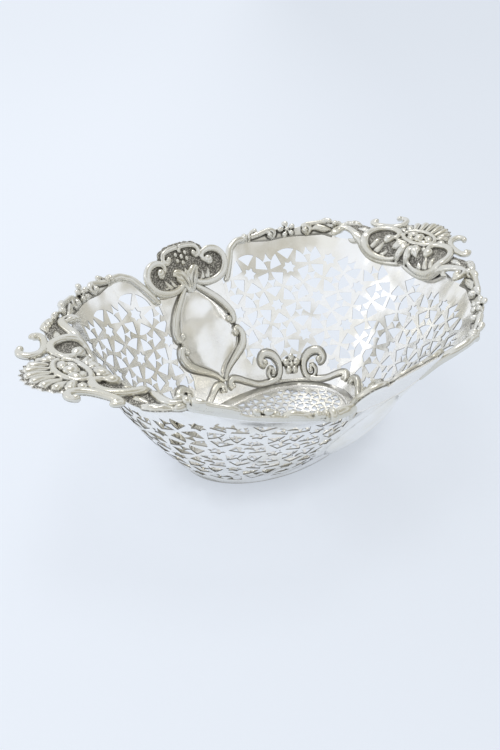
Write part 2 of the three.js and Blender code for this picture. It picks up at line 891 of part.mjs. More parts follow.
// End mount: chased ground, two volute rings, a lower frame scroll, a palmette and a shell
const frameScrollShares = [
  [25.4, 0.03],
  [23, -0.12],
  [18, -0.32],
  [12, -0.44],
  [6, -0.42],
  [0, -0.3],
];
const outerScrollShares = [
  [11.6, 0.62],
  [9.9, 0.76],
  [8.1, 0.62],
  [8.2, 0.42],
  [10.2, 0.29],
  [13, 0.27],
  [15.6, 0.36],
  [15.2, 0.48],
  [13.8, 0.44],
];
const ringMiddleDegrees = 9.7;
const ringRadius = 10.2;
const groundInner = 12;
const groundOuter = 11;
const endMountDegrees = 24.5;
const groundTaperShare = 0.8;
const groundColumnCount = 8;
const groundRowCount = 2;
const frameScrollSteps = 7;
const outerScrollSteps = 10;
const ringSteps = 18;
const ringStartDegrees = -60;
const ringStepDegrees = 26;
const ringDrawInShare = 0.62;
const fluteCountShare = 4.5;
const shellTaperShare = 0.22;
const shellHingeShare = 0.12;
const shellHalfDegrees = [7.4, 5];
const shellDomeShares = [0.05, 0.9];
const shellColumnCount = 14;
const shellRowCount = 3;
const leafDegrees = 4;
const leafMiddleShare = 0.55;
const leafSideShare = 0.3;

function endMount() {
  const groundLift = (side) => (side > 0 ? plateThickness : 0) + wireSeat;
  const ground = (u, v, side) => {
    const degrees = THREE.MathUtils.lerp(-endMountDegrees, endMountDegrees, u);
    const share = Math.abs(u - 1 / 2) * 2;
    const inner = -groundInner * (1 - share * share * groundTaperShare);
    const outer = groundOuter * (1 - share * share * groundTaperShare);
    return endPoint(toRadians(degrees), THREE.MathUtils.lerp(outer, inner, v), groundLift(side));
  };
  const pieces = [gridSheet(ground, groundColumnCount, groundRowCount)];
  const wireLift = wireSeat + plateThickness / 2 + endWire / 2;
  for (const sign of [1, -1]) {
    const turned = (shares) => shares.map(([degrees, share]) => [sign * degrees, share * flangeReach]);
    const framePath = endPath(turned(frameScrollShares), frameScrollSteps, wireLift);
    pieces.push(wire(framePath, endWire, endWire, 1));
    const outerPath = endPath(turned(outerScrollShares), outerScrollSteps, wireLift);
    pieces.push(wire(outerPath, endWire, endWire, wireEndShare));
    const ring = [];
    const rate = toRadians(1) * (baseWidth / 2 + (growth(bendHeight) * baseLength) / baseWidth);
    for (let i = 0; i <= ringSteps; i += 1) {
      const angle = toRadians(ringStartDegrees + i * ringStepDegrees);
      const radius = ringRadius * (1 - ringDrawInShare * (i / ringSteps) ** 2);
      const degrees = ringMiddleDegrees + (radius * Math.cos(angle)) / rate;
      ring.push([sign * degrees, radius * Math.sin(angle)]);
    }
    pieces.push(wire(endPath(ring, ringSteps, wireLift), endWire, endWire, wireEndShare));
  }
  const shell = (u, v, side) => {
    const share = u * 2 - 1;
    const flute = Math.abs(Math.sin(u * Math.PI * fluteCountShare + Math.PI / 4));
    const taper = 1 - shellTaperShare * share * share;
    const reach = flangeReach * taper - (1 - flute) * plateThickness;
    const run = THREE.MathUtils.lerp(reach, flangeReach * shellHingeShare, v);
    const degrees = share * THREE.MathUtils.lerp(...shellHalfDegrees, v);
    const dome = shellRelief * Math.sin(Math.PI * THREE.MathUtils.lerp(...shellDomeShares, v)) * flute;
    return endPoint(toRadians(degrees), run, wireSeat + (side > 0 ? plateThickness + dome : 0));
  };
  pieces.push(gridSheet(shell, shellColumnCount, shellRowCount));
  for (const degrees of [-leafDegrees, 0, leafDegrees]) {
    const run = -groundInner * (degrees === 0 ? leafMiddleShare : leafSideShare);
    const upright = [
      [degrees, run],
      [degrees, run + probeStep],
    ];
    const [spot] = endPath(upright, 1, wireLift);
    const down = endPoint(0, run - probeStep).sub(endPoint(0, run));
    pieces.push(lump(spot.point, down, spot.normal, leafLength, endWire, endWire));
  }
  return fused(pieces);
}

// The assembly
const basket = new THREE.Group();
const silver = () => new THREE.MeshStandardMaterial({ color: 0xd9d8d2, roughness: 0.25, metalness: 1 });

function addPiece(name, geometry) {
  const mesh = new THREE.Mesh(geometry, silver());
  mesh.name = name;
  basket.add(mesh);
}

addPiece('base_plate', basePlate());
const wallRight = endWall();
addPiece('pierced_wall_right', wallRight);
addPiece('pierced_wall_left', mirrored(wallRight, -1, 1));
const sides = { back: 1, front: -1 };
const ends = { right: 1, left: -1 };
const panel = cartouchePanel();
const frame = cartoucheFrame();
const crown = crest();
const rim = rimBorder();
const border = baseBorder();
const mount = endMount();
for (const [side, y] of Object.entries(sides)) {
  addPiece(`cartouche_panel_${side}`, mirrored(panel, 1, y));
  addPiece(`cartouche_frame_${side}`, mirrored(frame, 1, y));
  addPiece(`crest_${side}`, mirrored(crown, 1, y));
  for (const [end, x] of Object.entries(ends)) {
    addPiece(`rim_border_${side}_${end}`, mirrored(rim, x, y));
    addPiece(`base_border_${side}_${end}`, mirrored(border, x, y));
  }
}
for (const [end, x] of Object.entries(ends)) addPiece(`end_mount_${end}`, mirrored(mount, x, 1));

export default basket;
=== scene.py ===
"""Oval pierced silver basket: flaring pierced walls, cast scroll borders and shell ends."""
import math

import bpy
import numpy as np
from mathutils import Matrix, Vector
from mathutils.geometry import delaunay_2d_cdt


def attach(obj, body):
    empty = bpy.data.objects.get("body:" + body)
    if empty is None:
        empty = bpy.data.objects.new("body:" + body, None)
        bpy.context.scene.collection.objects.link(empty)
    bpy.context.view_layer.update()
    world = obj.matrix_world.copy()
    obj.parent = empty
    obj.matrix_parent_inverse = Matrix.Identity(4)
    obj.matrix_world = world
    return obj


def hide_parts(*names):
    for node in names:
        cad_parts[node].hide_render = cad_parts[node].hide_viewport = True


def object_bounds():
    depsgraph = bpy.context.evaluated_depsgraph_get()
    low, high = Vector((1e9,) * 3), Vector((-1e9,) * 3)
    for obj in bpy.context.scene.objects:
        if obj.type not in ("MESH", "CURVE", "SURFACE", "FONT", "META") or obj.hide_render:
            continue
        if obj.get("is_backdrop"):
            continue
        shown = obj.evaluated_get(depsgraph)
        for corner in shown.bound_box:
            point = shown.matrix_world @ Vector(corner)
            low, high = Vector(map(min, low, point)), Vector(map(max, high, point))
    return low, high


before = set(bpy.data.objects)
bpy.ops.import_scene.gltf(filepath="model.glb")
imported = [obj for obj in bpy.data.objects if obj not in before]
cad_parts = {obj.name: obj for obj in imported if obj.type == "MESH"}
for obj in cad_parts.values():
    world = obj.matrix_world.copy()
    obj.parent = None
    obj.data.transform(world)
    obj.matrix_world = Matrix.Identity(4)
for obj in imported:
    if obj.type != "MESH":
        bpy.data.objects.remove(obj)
cad_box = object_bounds()
mm = 0.001

# Camera: where the photograph was taken from, worked out from the basket's own symmetry.
camera_place = (-0.23462, -0.24137, 0.25213)
camera_turn = math.radians(-41.6)
camera_tilt = math.radians(32.44)
camera_roll = math.radians(0.72)
camera_lens = 32.23
back = np.array(
    [
        math.sin(camera_turn) * math.cos(camera_tilt),
        -math.cos(camera_turn) * math.cos(camera_tilt),
        math.sin(camera_tilt),
    ]
)
level_right = np.array([math.cos(camera_turn), math.sin(camera_turn), 0])
level_up = np.cross(back, level_right)
right = math.cos(camera_roll) * level_right + math.sin(camera_roll) * level_up
up = np.cross(back, right)
camera_data = bpy.data.cameras.new("camera")
camera_data.lens = camera_lens
camera = bpy.data.objects.new("camera", camera_data)
camera_axes = zip(np.stack([right, up, back], 1), camera_place)
camera.matrix_world = Matrix([[*row, place] for row, place in camera_axes] + [[0, 0, 0, 1]])
bpy.context.scene.collection.objects.link(camera)
bpy.context.scene.camera = camera
bpy.context.scene.view_settings.view_transform = "Standard"

# Studio: a pale blue-white paper floor in a pale tent. The paper's colour is painted lighter on the
# left and darker on the right, a painted fall-off of light, and the tent is dimmer and warmer on
# the camera's side but for one window band, which the silver shows. The paper's glow is seen by
# the camera and in the metal, and its plain share takes the shadow; near the basket's foot the
# glow is dimmed as a painted contact shadow.
paper_lit_left = (0.838, 0.887, 0.965, 1)
paper_dim_right = (0.752, 0.799, 0.871, 1)
paper_glow = 0.67
paper_shade = 0.38
painted_shadow_glow = 0.74
painted_shadow_reach = 0.02
floor_reach = 8
tent_strength = 0.92
tent_pale = (0.98, 1.01, 1.06, 1)
tent_warm = (0.58, 0.565, 0.5, 1)
tent_bright = (0.95, 0.98, 1.02, 1)
tent_top = (0.80, 0.80, 0.78, 1)
tent_far_way = (-0.55, 0.80, 0.2)


def add_node(tree, kind, inputs=None, **settings):
    """A node of a kind, with its settings, and its inputs given as values or as sockets to link."""
    node = tree.nodes.new(kind)
    for key, value in settings.items():
        setattr(node, key, value)
    for key, value in (inputs or {}).items():
        if isinstance(value, bpy.types.NodeSocket):
            tree.links.new(value, node.inputs[key])
        else:
            node.inputs[key].default_value = value
    return node


def blend(tree, share, first, second):
    """Colour between first and second, by share."""
    node = add_node(tree, "ShaderNodeMix", {0: share, 6: first, 7: second}, data_type="RGBA")
    return node.outputs[2]


def spread(tree, value, low, high, first=0.0, second=1.0):
    """Value moved smoothly from the range low to high onto first to second."""
    node = add_node(
        tree,
        "ShaderNodeMapRange",
        {"Value": value, "From Min": low, "From Max": high, "To Min": first, "To Max": second},
        interpolation_type="SMOOTHSTEP",
    )
    return node.outputs[0]


world = bpy.data.worlds.new("tent")
bpy.context.scene.world = world
world.use_nodes = True
tree = world.node_tree
direction = add_node(tree, "ShaderNodeTexCoord").outputs["Generated"]
height = add_node(tree, "ShaderNodeSeparateXYZ", {0: direction}).outputs["Z"]
towards = add_node(tree, "ShaderNodeVectorMath", {0: direction, 1: tent_far_way}, operation="DOT_PRODUCT")
window_low = spread(tree, height, 0.22, 0.40)
window_high = spread(tree, height, 0.58, 0.74, 1.0, 0.0)
window = add_node(tree, "ShaderNodeMath", {0: window_low, 1: window_high}, operation="MULTIPLY")
near_side = blend(tree, window.outputs[0], tent_warm, tent_bright)
sides = blend(tree, spread(tree, towards.outputs["Value"], -0.25, 0.45), near_side, tent_pale)
tent = blend(tree, spread(tree, height, 0.80, 0.97), sides, tent_top)
background = tree.nodes["Background"]
tree.links.new(tent, background.inputs["Color"])
background.inputs["Strength"].default_value = tent_strength


def add_lamp(name, place, target, size, watts, colour):
    """A square soft lamp at a place, facing a target."""
    data = bpy.data.lights.new(name, "AREA")
    data.shape = "SQUARE"
    data.size = size
    data.energy = watts
    data.color = colour
    lamp = bpy.data.objects.new(name, data)
    away = np.subtract(place, target)
    away = away / np.linalg.norm(away)
    side = np.cross([0.0, 0.01, 1.0], away)
    side = side / np.linalg.norm(side)
    axes = np.stack([side, np.cross(away, side), away], 1)
    lamp.matrix_world = Matrix([[*row, spot] for row, spot in zip(axes, place)] + [[0, 0, 0, 1]])
    bpy.context.scene.collection.objects.link(lamp)


add_lamp("lamp_left", (-1.3, 0.7, 0.9), (0, 0, 0.05), 0.42, 0.6, (1, 0.99, 0.97))
add_lamp("lamp_top", (0.2, 0.3, 1.7), (0, 0, 0), 0.6, 3.5, (1, 1, 1))


def new_material(name):
    """An empty material with its output node."""
    material = bpy.data.materials.new(name)
    material.use_nodes = True
    material.node_tree.nodes.clear()
    output = material.node_tree.nodes.new("ShaderNodeOutputMaterial")
    return material, material.node_tree, output


paper, tree, output = new_material("paper")
position = add_node(tree, "ShaderNodeTexCoord").outputs["Object"]
across = add_node(
    tree, "ShaderNodeVectorMath", {0: position, 1: tuple(level_right)}, operation="DOT_PRODUCT"
)
# Painted light: the paper's colour fades from lighter on the left to darker on the right.
paper_tone_and_falloff = blend(tree, spread(tree, across.outputs["Value"], -0.3, 0.35), paper_lit_left, paper_dim_right)
shade = blend(tree, paper_shade, (0, 0, 0, 1), paper_tone_and_falloff)
surface = add_node(tree, "ShaderNodeBsdfDiffuse", {"Color": shade})
ray = add_node(tree, "ShaderNodeLightPath")
seen = add_node(tree, "ShaderNodeMath", {0: ray.outputs["Is Camera Ray"], 1: ray.outputs["Is Glossy Ray"]})
seen = add_node(tree, "ShaderNodeMath", {0: seen.outputs[0], 1: ray.outputs["Is Transmission Ray"]})
# Painted contact shadow: the glow is dimmed by ambient occlusion near the basket's foot.
painted_shadow_ao = add_node(tree, "ShaderNodeAmbientOcclusion", {"Distance": painted_shadow_reach})
shadowed_glow = spread(tree, painted_shadow_ao.outputs["AO"], 0.0, 1.0, paper_glow * painted_shadow_glow, paper_glow)
glow_strength = add_node(tree, "ShaderNodeMath", {0: seen.outputs[0], 1: shadowed_glow}, operation="MULTIPLY")
glow = add_node(tree, "ShaderNodeEmission", {"Color": paper_tone_and_falloff, "Strength": glow_strength.outputs[0]})
surface = add_node(tree, "ShaderNodeAddShader", {0: surface.outputs[0], 1: glow.outputs[0]})
tree.links.new(surface.outputs[0], output.inputs[0])
floor_mesh = bpy.data.meshes.new("floor")
floor_corners = [(x * floor_reach, y * floor_reach, 0) for x, y in ((-1, -1), (1, -1), (1, 1), (-1, 1))]
floor_mesh.from_pydata(floor_corners, [], [(0, 1, 2, 3)])
floor_mesh.materials.append(paper)
floor = bpy.data.objects.new("floor", floor_mesh)
bpy.context.scene.collection.objects.link(floor)
floor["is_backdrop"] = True

# Pierced walls: two halves of rolled silver sheet, raised by hand, pierced with rosettes of a star
# and six fans, and seamed under the cartouches. Polished, with a faint warm tarnish in patches.
base_half_length = 63.75 * mm
base_half_width = 40.5 * mm
wall_height = 85.5 * mm
wall_flare = 50.25 * mm
wall_belly = 4.5 * mm
rim_lip = 10 * mm
lip_start = 45 * mm
sheet = 0.6 * mm
wall_foot = 0.7 * mm
wall_net = 2.3 * mm
seam_reach = 0.02 * mm
joint_angle = math.radians(74)

# Each row: degrees from the long axis, the rim's height as a share of the wall's, and the share
# of the lip that the rim has there.
rim_table = np.array(
    [
        [0, 1.012, 0.1],
        [24, 1.0, 0.2],
        [30, 1.02, 0.45],
        [36, 1.0, 0.55],
        [44, 0.985, 0.77],
        [50, 0.965, 0.85],
        [59, 0.955, 1.2],
        [63, 0.95, 1.05],
        [66, 0.92, 0.9],
        [68.5, 0.84, 0.6],
        [71, 0.76, 0.45],
        [74, 0.725, 0.4],
        [90, 0.725, 0.4],
    ]
)

# Each row: degrees, and the lowest and the highest share of the wall's height that is pierced.
pierced_table = np.array(
    [
        [0, 0.07, 0.86],
        [24, 0.07, 0.93],
        [30, 0.07, 0.985],
        [38, 0.07, 0.95],
        [56, 0.07, 0.93],
        [64, 0.09, 0.89],
        [70, 0.12, 0.83],
        [74, 0.14, 0.79],
    ]
)

# The rim table read at even steps, mirrored past both ends of the quarter, and softened.
quarter = np.linspace(-30, 120, 1501)
folded = 90 - np.abs(90 - np.abs(quarter))
softening = np.hanning(21) / np.hanning(21).sum()
rim_level = np.convolve(np.interp(folded, rim_table[:, 0], rim_table[:, 1]), softening, "same")
rim_spread = np.convolve(np.interp(folded, rim_table[:, 0], rim_table[:, 2]), softening, "same")


def fold(angle):
    """The angle in degrees from the long axis, folded into one quarter."""
    return np.degrees(np.arcsin(np.clip(np.abs(np.sin(angle)), 0, 1)))


def growth(level):
    """How far the wall stands out from the base oval: the flare times the share of the height,
    and a belly that is half a sine wave over the height."""
    share = level / wall_height
    return wall_flare * share + wall_belly * np.sin(np.pi * np.clip(share, 0, 1))


def lip(angle, level):
    """Extra lean near the rim, growing with the square of the height above its start."""
    share = np.clip((level - lip_start) / (wall_height - lip_start), 0, 1)
    return rim_lip * np.interp(fold(angle), quarter, rim_spread) * share**2


def rim_height(angle):
    """Height of the wall's upper edge at an angle: the wall's height times the rim's share."""
    return wall_height * np.interp(fold(angle), quarter, rim_level)


def oval(angle):
    """Plan point of the base oval, half lengths times cosine and sine, and its outward direction,
    square to the oval."""
    point = np.stack([base_half_length * np.cos(angle), base_half_width * np.sin(angle)], -1)
    out = np.stack([base_half_width * np.cos(angle), base_half_length * np.sin(angle)], -1)
    return point, out / np.linalg.norm(out, axis=-1, keepdims=True)


def wall_at(angle, level, lift=0.0):
    """Point of the wall: base oval plus outward direction times growth and lip, moved by lift
    along the wall's own normal (outward where lift is positive)."""
    angle, level, lift = np.broadcast_arrays(angle, level, lift)
    point, out = oval(angle)
    step = 0.5 * mm
    here = growth(level) + lip(angle, level)
    slope = (growth(level + step) + lip(angle, level + step) - here) / step
    norm = np.hypot(1, slope)
    plan = point + out * (here + lift / norm)[..., None]
    return np.concatenate([plan, (level - lift * slope / norm)[..., None]], -1)


# The base line of the unrolled wall turns less than the oval does, as a leaning wall's does.
rise_share = wall_height / math.hypot(wall_height, wall_flare)
turn_share = wall_flare / math.hypot(wall_height, wall_flare)
line_angle = np.linspace(math.pi / 2, 0, 721)
line_point, line_out = oval(line_angle)
line_turn = (math.pi / 2 - np.arctan2(line_out[:, 1], line_out[:, 0])) * turn_share
line_arc = np.linalg.norm(np.diff(line_point, axis=0), axis=1)
line_x = np.concatenate([[0], np.cumsum(line_arc * np.cos(line_turn[1:]))])
line_y = np.concatenate([[0], -np.cumsum(line_arc * np.sin(line_turn[1:]))])
line_place = np.linspace(0, 1, len(line_angle))


def to_flat(angle, level):
    """The wall unrolled: its foot on the unrolled base line, and its slant square to that line."""
    share = 1 - angle / (math.pi / 2)
    turn = np.interp(share, line_place, line_turn)
    slant = level / rise_share
    x = np.interp(share, line_place, line_x) + slant * np.sin(turn)
    return np.stack([x, np.interp(share, line_place, line_y) + slant * np.cos(turn)], -1)


def from_flat(points):
    """Wall angle and height of unrolled points, found by halving the base line."""
    low, high = np.zeros(len(points)), np.ones(len(points))
    for _ in range(36):
        middle = (low + high) / 2
        turn = np.interp(middle, line_place, line_turn)
        dx = points[:, 0] - np.interp(middle, line_place, line_x)
        dy = points[:, 1] - np.interp(middle, line_place, line_y)
        past = dx * np.cos(turn) - dy * np.sin(turn) > 0
        low, high = np.where(past, middle, low), np.where(past, high, middle)
    slant = dx * np.sin(turn) + dy * np.cos(turn)
    return (1 - (low + high) / 2) * math.pi / 2, slant * rise_share


star_spacing = 27 * mm
lattice_start = np.array([81.9, 42.1]) * mm
lattice_tilt = math.radians(-7.4)
star_tip = 4.3 * mm
star_notch = 2.8 * mm
fan_apex = 5.7 * mm
fan_reach = 12.6 * mm
spoke = 1.7 * mm
cusp_reach = 3.9 * mm
cusp_waist = 1.5 * mm
seam_bar = 1.8 * mm
corner_bar = 2.2 * mm
apex_turn = 0.045
lattice_rows = 6
smallest_hole = (2.2 * mm) ** 2
cut_shade = 0.7


def polar(middle, radius, angle):
    """Points at radii and angles round a middle."""
    return middle + np.stack([radius * np.cos(angle), radius * np.sin(angle)], -1)


def rosettes(spacing, start, tilt):
    """Hole outlines on a triangular lattice: a six-point star, six fans with arcs round the
    star, and a three-cornered cusp at the middle of each three stars."""
    scale = spacing / star_spacing
    half = math.pi / 6 - math.asin(spoke / 2 / fan_reach)
    outlines = []
    for row in range(-lattice_rows, lattice_rows + 1):
        for column in range(-lattice_rows, lattice_rows + 1):
            middle = start + spacing * polar(0, column + row / 2, tilt)
            middle = middle + spacing * polar(0, row * math.sqrt(3) / 2, tilt + math.pi / 2)
            corner = np.arange(12)
            reach = np.where(corner % 2, star_notch, star_tip) * scale
            outlines.append(polar(middle, reach, tilt + corner * math.pi / 6))
            for fan in range(6):
                towards = tilt + math.pi / 6 + fan * math.pi / 3
                arc = np.linspace(-half, half, 8)
                outer = polar(middle, fan_reach * scale, towards + arc)
                apex = polar(middle, fan_apex * scale, towards + np.array([apex_turn, -apex_turn]))
                side = (apex[1] + outer[0]) / 2
                other = (apex[0] + outer[-1]) / 2
                outlines.append(np.vstack([side[None], outer, other[None], apex]))
            for turn in range(2):
                towards = tilt + math.pi / 6 + turn * math.pi / 3
                centre = polar(middle, spacing / math.sqrt(3), towards)
                corner = np.arange(6)
                reach = np.where(corner % 2, cusp_waist, cusp_reach) * scale
                outlines.append(polar(centre, reach, towards + math.pi / 3 + corner * math.pi / 3))
    return outlines


def pierced_faces(contour, holes, spacing):
    """Triangles of a flat outline with holes, with extra points on an even net, away from every
    edge, so that the sheet bends smoothly. Gives the points and the triangles, all turned the
    same way."""
    outlines = [contour] + holes
    edge = np.vstack(outlines)
    low, high = contour.min(0), contour.max(0)
    rows = np.arange(low[1], high[1], spacing * math.sqrt(3) / 2)
    columns = np.arange(low[0], high[0], spacing)
    net_x, net_y = np.meshgrid(columns, rows)
    net_x = net_x + (np.arange(len(rows)) % 2)[:, None] * spacing / 2
    net = np.stack([net_x.ravel(), net_y.ravel()], -1)
    gap = np.sum((edge[None] - net[:, None]) ** 2, 2).min(1)
    net = net[gap > (0.5 * spacing) ** 2]
    sizes = np.cumsum([0] + [len(outline) for outline in outlines])
    loops = [list(range(start, end)) for start, end in zip(sizes[:-1], sizes[1:])]
    points = np.vstack([edge, net]) / mm
    found, _, faces, _, _, owners = delaunay_2d_cdt(points.tolist(), [], loops, 0, 1e-5)
    kept = np.array([face for face, owner in zip(faces, owners) if list(owner) == [0]])
    found = np.array(found) * mm
    a, b, c = found[kept[:, 0]], found[kept[:, 1]], found[kept[:, 2]]
    area = (b[:, 0] - a[:, 0]) * (c[:, 1] - a[:, 1]) - (b[:, 1] - a[:, 1]) * (c[:, 0] - a[:, 0])
    kept[area < 0] = kept[area < 0][:, ::-1]
    used, renamed = np.unique(kept, return_inverse=True)
    return found[used], renamed.reshape(kept.shape)


def two_skins(upper, lower, faces, is_seam):
    """A closed sheet from two skins of the same triangles, with a wall along each open edge but
    the seam, which is welded to its mirror image. Gives the points, the faces, and 1 for each
    face that is a cut edge."""
    count = len(upper)
    edges = np.vstack([faces[:, [0, 1]], faces[:, [1, 2]], faces[:, [2, 0]]])
    keys = edges[:, 0] * count + edges[:, 1]
    opposite = edges[:, 1] * count + edges[:, 0]
    border = edges[~np.isin(keys, opposite)]
    border = border[~(is_seam[border[:, 0]] & is_seam[border[:, 1]])]
    a, b = border[:, 0], border[:, 1]
    walls = np.vstack([np.stack([b, a, a + count], 1), np.stack([b, a + count, b + count], 1)])
    is_cut = np.concatenate([np.zeros(2 * len(faces)), np.ones(len(walls))])
    return np.vstack([upper, lower]), np.vstack([faces, faces[:, ::-1] + count, walls]), is_cut


def finish_piece(name, nodes, mesh, material, sharp=38):
    """Puts a mesh in the scene in place of its CAD nodes, smooth but for its sharp edges."""
    mesh.polygons.foreach_set("use_smooth", np.ones(len(mesh.polygons), bool))
    mesh.set_sharp_from_angle(angle=math.radians(sharp))
    mesh.materials.clear()
    mesh.materials.append(material)
    piece = bpy.data.objects.new(name, mesh)
    bpy.context.scene.collection.objects.link(piece)
    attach(piece, "root")
    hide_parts(*nodes)
    return piece


def new_mesh(name, points, faces):
    """A mesh from points and faces."""
    mesh = bpy.data.meshes.new(name)
    faces = faces.tolist() if isinstance(faces, np.ndarray) else faces
    mesh.from_pydata(np.asarray(points).tolist(), [], faces)
    mesh.update()
    return mesh


def mark(mesh, name, values, domain):
    """Gives a mesh an attribute, for each point or face: shade_and_tarnish is 0 where the silver
    keeps its own colour and 1 where it is darkest, which is painted shade with some tarnish, and
    ground is 1 where it is matted."""
    layer = mesh.attributes.new(name, "FLOAT", domain)
    layer.data.foreach_set("value", np.asarray(values, np.float32))


# Worn and shaded silver, shared by every piece: its colour goes dark by the attribute
# shade_and_tarnish, which is painted shade with some tarnish, and warm in patches of tarnish,
# fine wear changes its shine, and sheet raised by hand has a slow ripple.
worn_and_shaded_silver = bpy.data.node_groups.new("worn_and_shaded_silver", "ShaderNodeTree")
for way, kind, sockets in (
    ("INPUT", "Vector", ["Position"]),
    ("INPUT", "Float", ["Shade_and_tarnish", "Shine", "Ripple"]),
    ("INPUT", "Color", ["Bright", "Tarnish", "Dark"]),
    ("OUTPUT", "Color", ["Colour"]),
    ("OUTPUT", "Float", ["Roughness"]),
    ("OUTPUT", "Vector", ["Normal"]),
):
    for socket in sockets:
        worn_and_shaded_silver.interface.new_socket(socket, in_out=way, socket_type="NodeSocket" + kind)
given = add_node(worn_and_shaded_silver, "NodeGroupInput").outputs
place = given["Position"]
cloud = add_node(worn_and_shaded_silver, "ShaderNodeTexNoise", {"Vector": place, "Scale": 38.0, "Detail": 5.0})
warm = spread(worn_and_shaded_silver, cloud.outputs["Fac"], 0.40, 0.68, 0.0, 0.5)
sheen = blend(worn_and_shaded_silver, warm, given["Bright"], given["Tarnish"])
# The colour goes towards Dark by Shade_and_tarnish: painted shade, with some tarnish.
deep = spread(worn_and_shaded_silver, given["Shade_and_tarnish"], 0.15, 0.95)
fine = add_node(worn_and_shaded_silver, "ShaderNodeTexNoise", {"Vector": place, "Scale": 900.0, "Detail": 4.0})
wear = spread(worn_and_shaded_silver, fine.outputs["Fac"], 0.3, 0.7, 0.85, 1.2)
shine = add_node(worn_and_shaded_silver, "ShaderNodeMath", {0: given["Shine"], 1: wear}, operation="MULTIPLY")
dull = spread(worn_and_shaded_silver, given["Shade_and_tarnish"], 0.1, 0.9, 0.0, 0.3)
rough = add_node(worn_and_shaded_silver, "ShaderNodeMath", {0: shine.outputs[0], 1: dull})
slow = add_node(worn_and_shaded_silver, "ShaderNodeTexNoise", {"Vector": place, "Scale": 34.0, "Detail": 1.5})
wave = add_node(
    worn_and_shaded_silver,
    "ShaderNodeBump",
    {"Height": slow.outputs["Fac"], "Strength": 1.0, "Distance": given["Ripple"]},
)
scuff = add_node(
    worn_and_shaded_silver,
    "ShaderNodeBump",
    {"Height": fine.outputs["Fac"], "Strength": 0.03, "Distance": 0.0002, "Normal": wave.outputs[0]},
)
add_node(
    worn_and_shaded_silver,
    "NodeGroupOutput",
    {
        "Colour": blend(worn_and_shaded_silver, deep, sheen, given["Dark"]),
        "Roughness": rough.outputs[0],
        "Normal": scuff.outputs[0],
    },
)


def place_silver(tree, bright, dark, shine, ripple):
    """The worn and shaded silver in a material's tree, reading the attribute shade_and_tarnish,
    whose painted shade darkens the colour. Gives its outputs.
    """
    tarnish = (bright[0] * 0.86, bright[1] * 0.82, bright[2] * 0.70, 1)
    values = {
        "Position": add_node(tree, "ShaderNodeTexCoord").outputs["Object"],
        "Shade_and_tarnish": add_node(tree, "ShaderNodeAttribute", attribute_name="shade_and_tarnish").outputs["Fac"],
        "Bright": (*bright, 1),
        "Tarnish": tarnish,
        "Dark": (*dark, 1),
        "Shine": shine,
        "Ripple": ripple,
    }
    return add_node(tree, "ShaderNodeGroup", values, node_tree=worn_and_shaded_silver).outputs


def metal(tree, output, colour, rough, normal):
    """A bare metal shader from colour, roughness and normal sockets, on the material's output."""
    values = {"Base Color": colour, "Metallic": 1.0, "Roughness": rough, "Normal": normal}
    shader = add_node(tree, "ShaderNodeBsdfPrincipled", values)
    tree.links.new(shader.outputs[0], output.inputs[0])


sheet_silver, tree, output = new_material("sheet_silver")
silver = place_silver(
    tree, bright=(0.985, 0.98, 0.965), dark=(0.16, 0.155, 0.14), shine=0.2, ripple=0.004
)
metal(tree, output, silver["Colour"], silver["Roughness"], silver["Normal"])

around = np.linspace(0, joint_angle, 90)
upward = np.linspace(0, 1, 26)[1:-1]
side_levels = wall_foot + (rim_height(joint_angle) - wall_foot) * upward
seam_levels = wall_foot + (rim_height(0) - wall_foot) * upward
contour = np.vstack(
    [
        to_flat(around, wall_foot),
        to_flat(joint_angle, side_levels),
        to_flat(around[::-1], rim_height(around[::-1])),
        to_flat(0.0, seam_levels[::-1]),
    ]
)[::-1]


def cut_off(outline, angle, side, bar):
    """A hole cut off a bar's width beside the wall's line at an angle, which is straight when
    unrolled: the corners past the bar, and the two points where the outline crosses it. Gives
    nothing where the piece left is too small."""
    start = to_flat(angle, 0.0)
    way = to_flat(angle, wall_height) - start
    gap = (outline - start) @ (side * np.array([-way[1], way[0]]) / np.linalg.norm(way)) - bar
    if gap.min() > 0:
        return outline
    after, next_gap = np.roll(outline, -1, 0), np.roll(gap, -1)
    crosses = (gap > 0) != (next_gap > 0)
    if np.sum(crosses) != 2:
        return None
    fall = np.where(crosses, gap - next_gap, 1)
    meets = outline + (after - outline) * gap[:, None] / fall[:, None]
    kept = np.stack([gap > 0, crosses], 1).ravel()
    cut = np.stack([outline, meets], 1).reshape(-1, 2)[kept]
    x, y = cut.T
    area = abs(np.sum(x * np.roll(y, -1) - y * np.roll(x, -1))) / 2
    return cut if area > smallest_hole else None


def is_pierceable(outline):
    """True where a whole hole lies in the pierced band."""
    angle, level = from_flat(outline)
    low, high = (
        np.interp(np.degrees(angle), pierced_table[:, 0], pierced_table[:, k]) * wall_height for k in (1, 2)
    )
    return np.all((level > low) & (level < high))


holes = rosettes(star_spacing, lattice_start, lattice_tilt)
holes = [cut_off(outline, 0.0, 1, seam_bar / 2) for outline in holes]
holes = [cut_off(outline, joint_angle, -1, corner_bar) for outline in holes if outline is not None]
holes = [outline for outline in holes if outline is not None and is_pierceable(outline)]
flat_points, faces = pierced_faces(contour, holes, wall_net)
angle, level = from_flat(flat_points)
inner_skin = wall_at(angle, level, -sheet / 2)
outer_skin = wall_at(angle, level, sheet / 2)
points, faces, is_cut = two_skins(inner_skin, outer_skin, faces, np.abs(inner_skin[:, 1]) < seam_reach)
points[np.abs(points[:, 1]) < seam_reach, 1] = 0


def mirrored(points, faces, signs):
    """The points mirrored by signs, with the faces turned back out where that is needed."""
    turned = faces[:, ::-1] if np.prod(signs) < 0 else faces
    return points * np.array(signs), turned


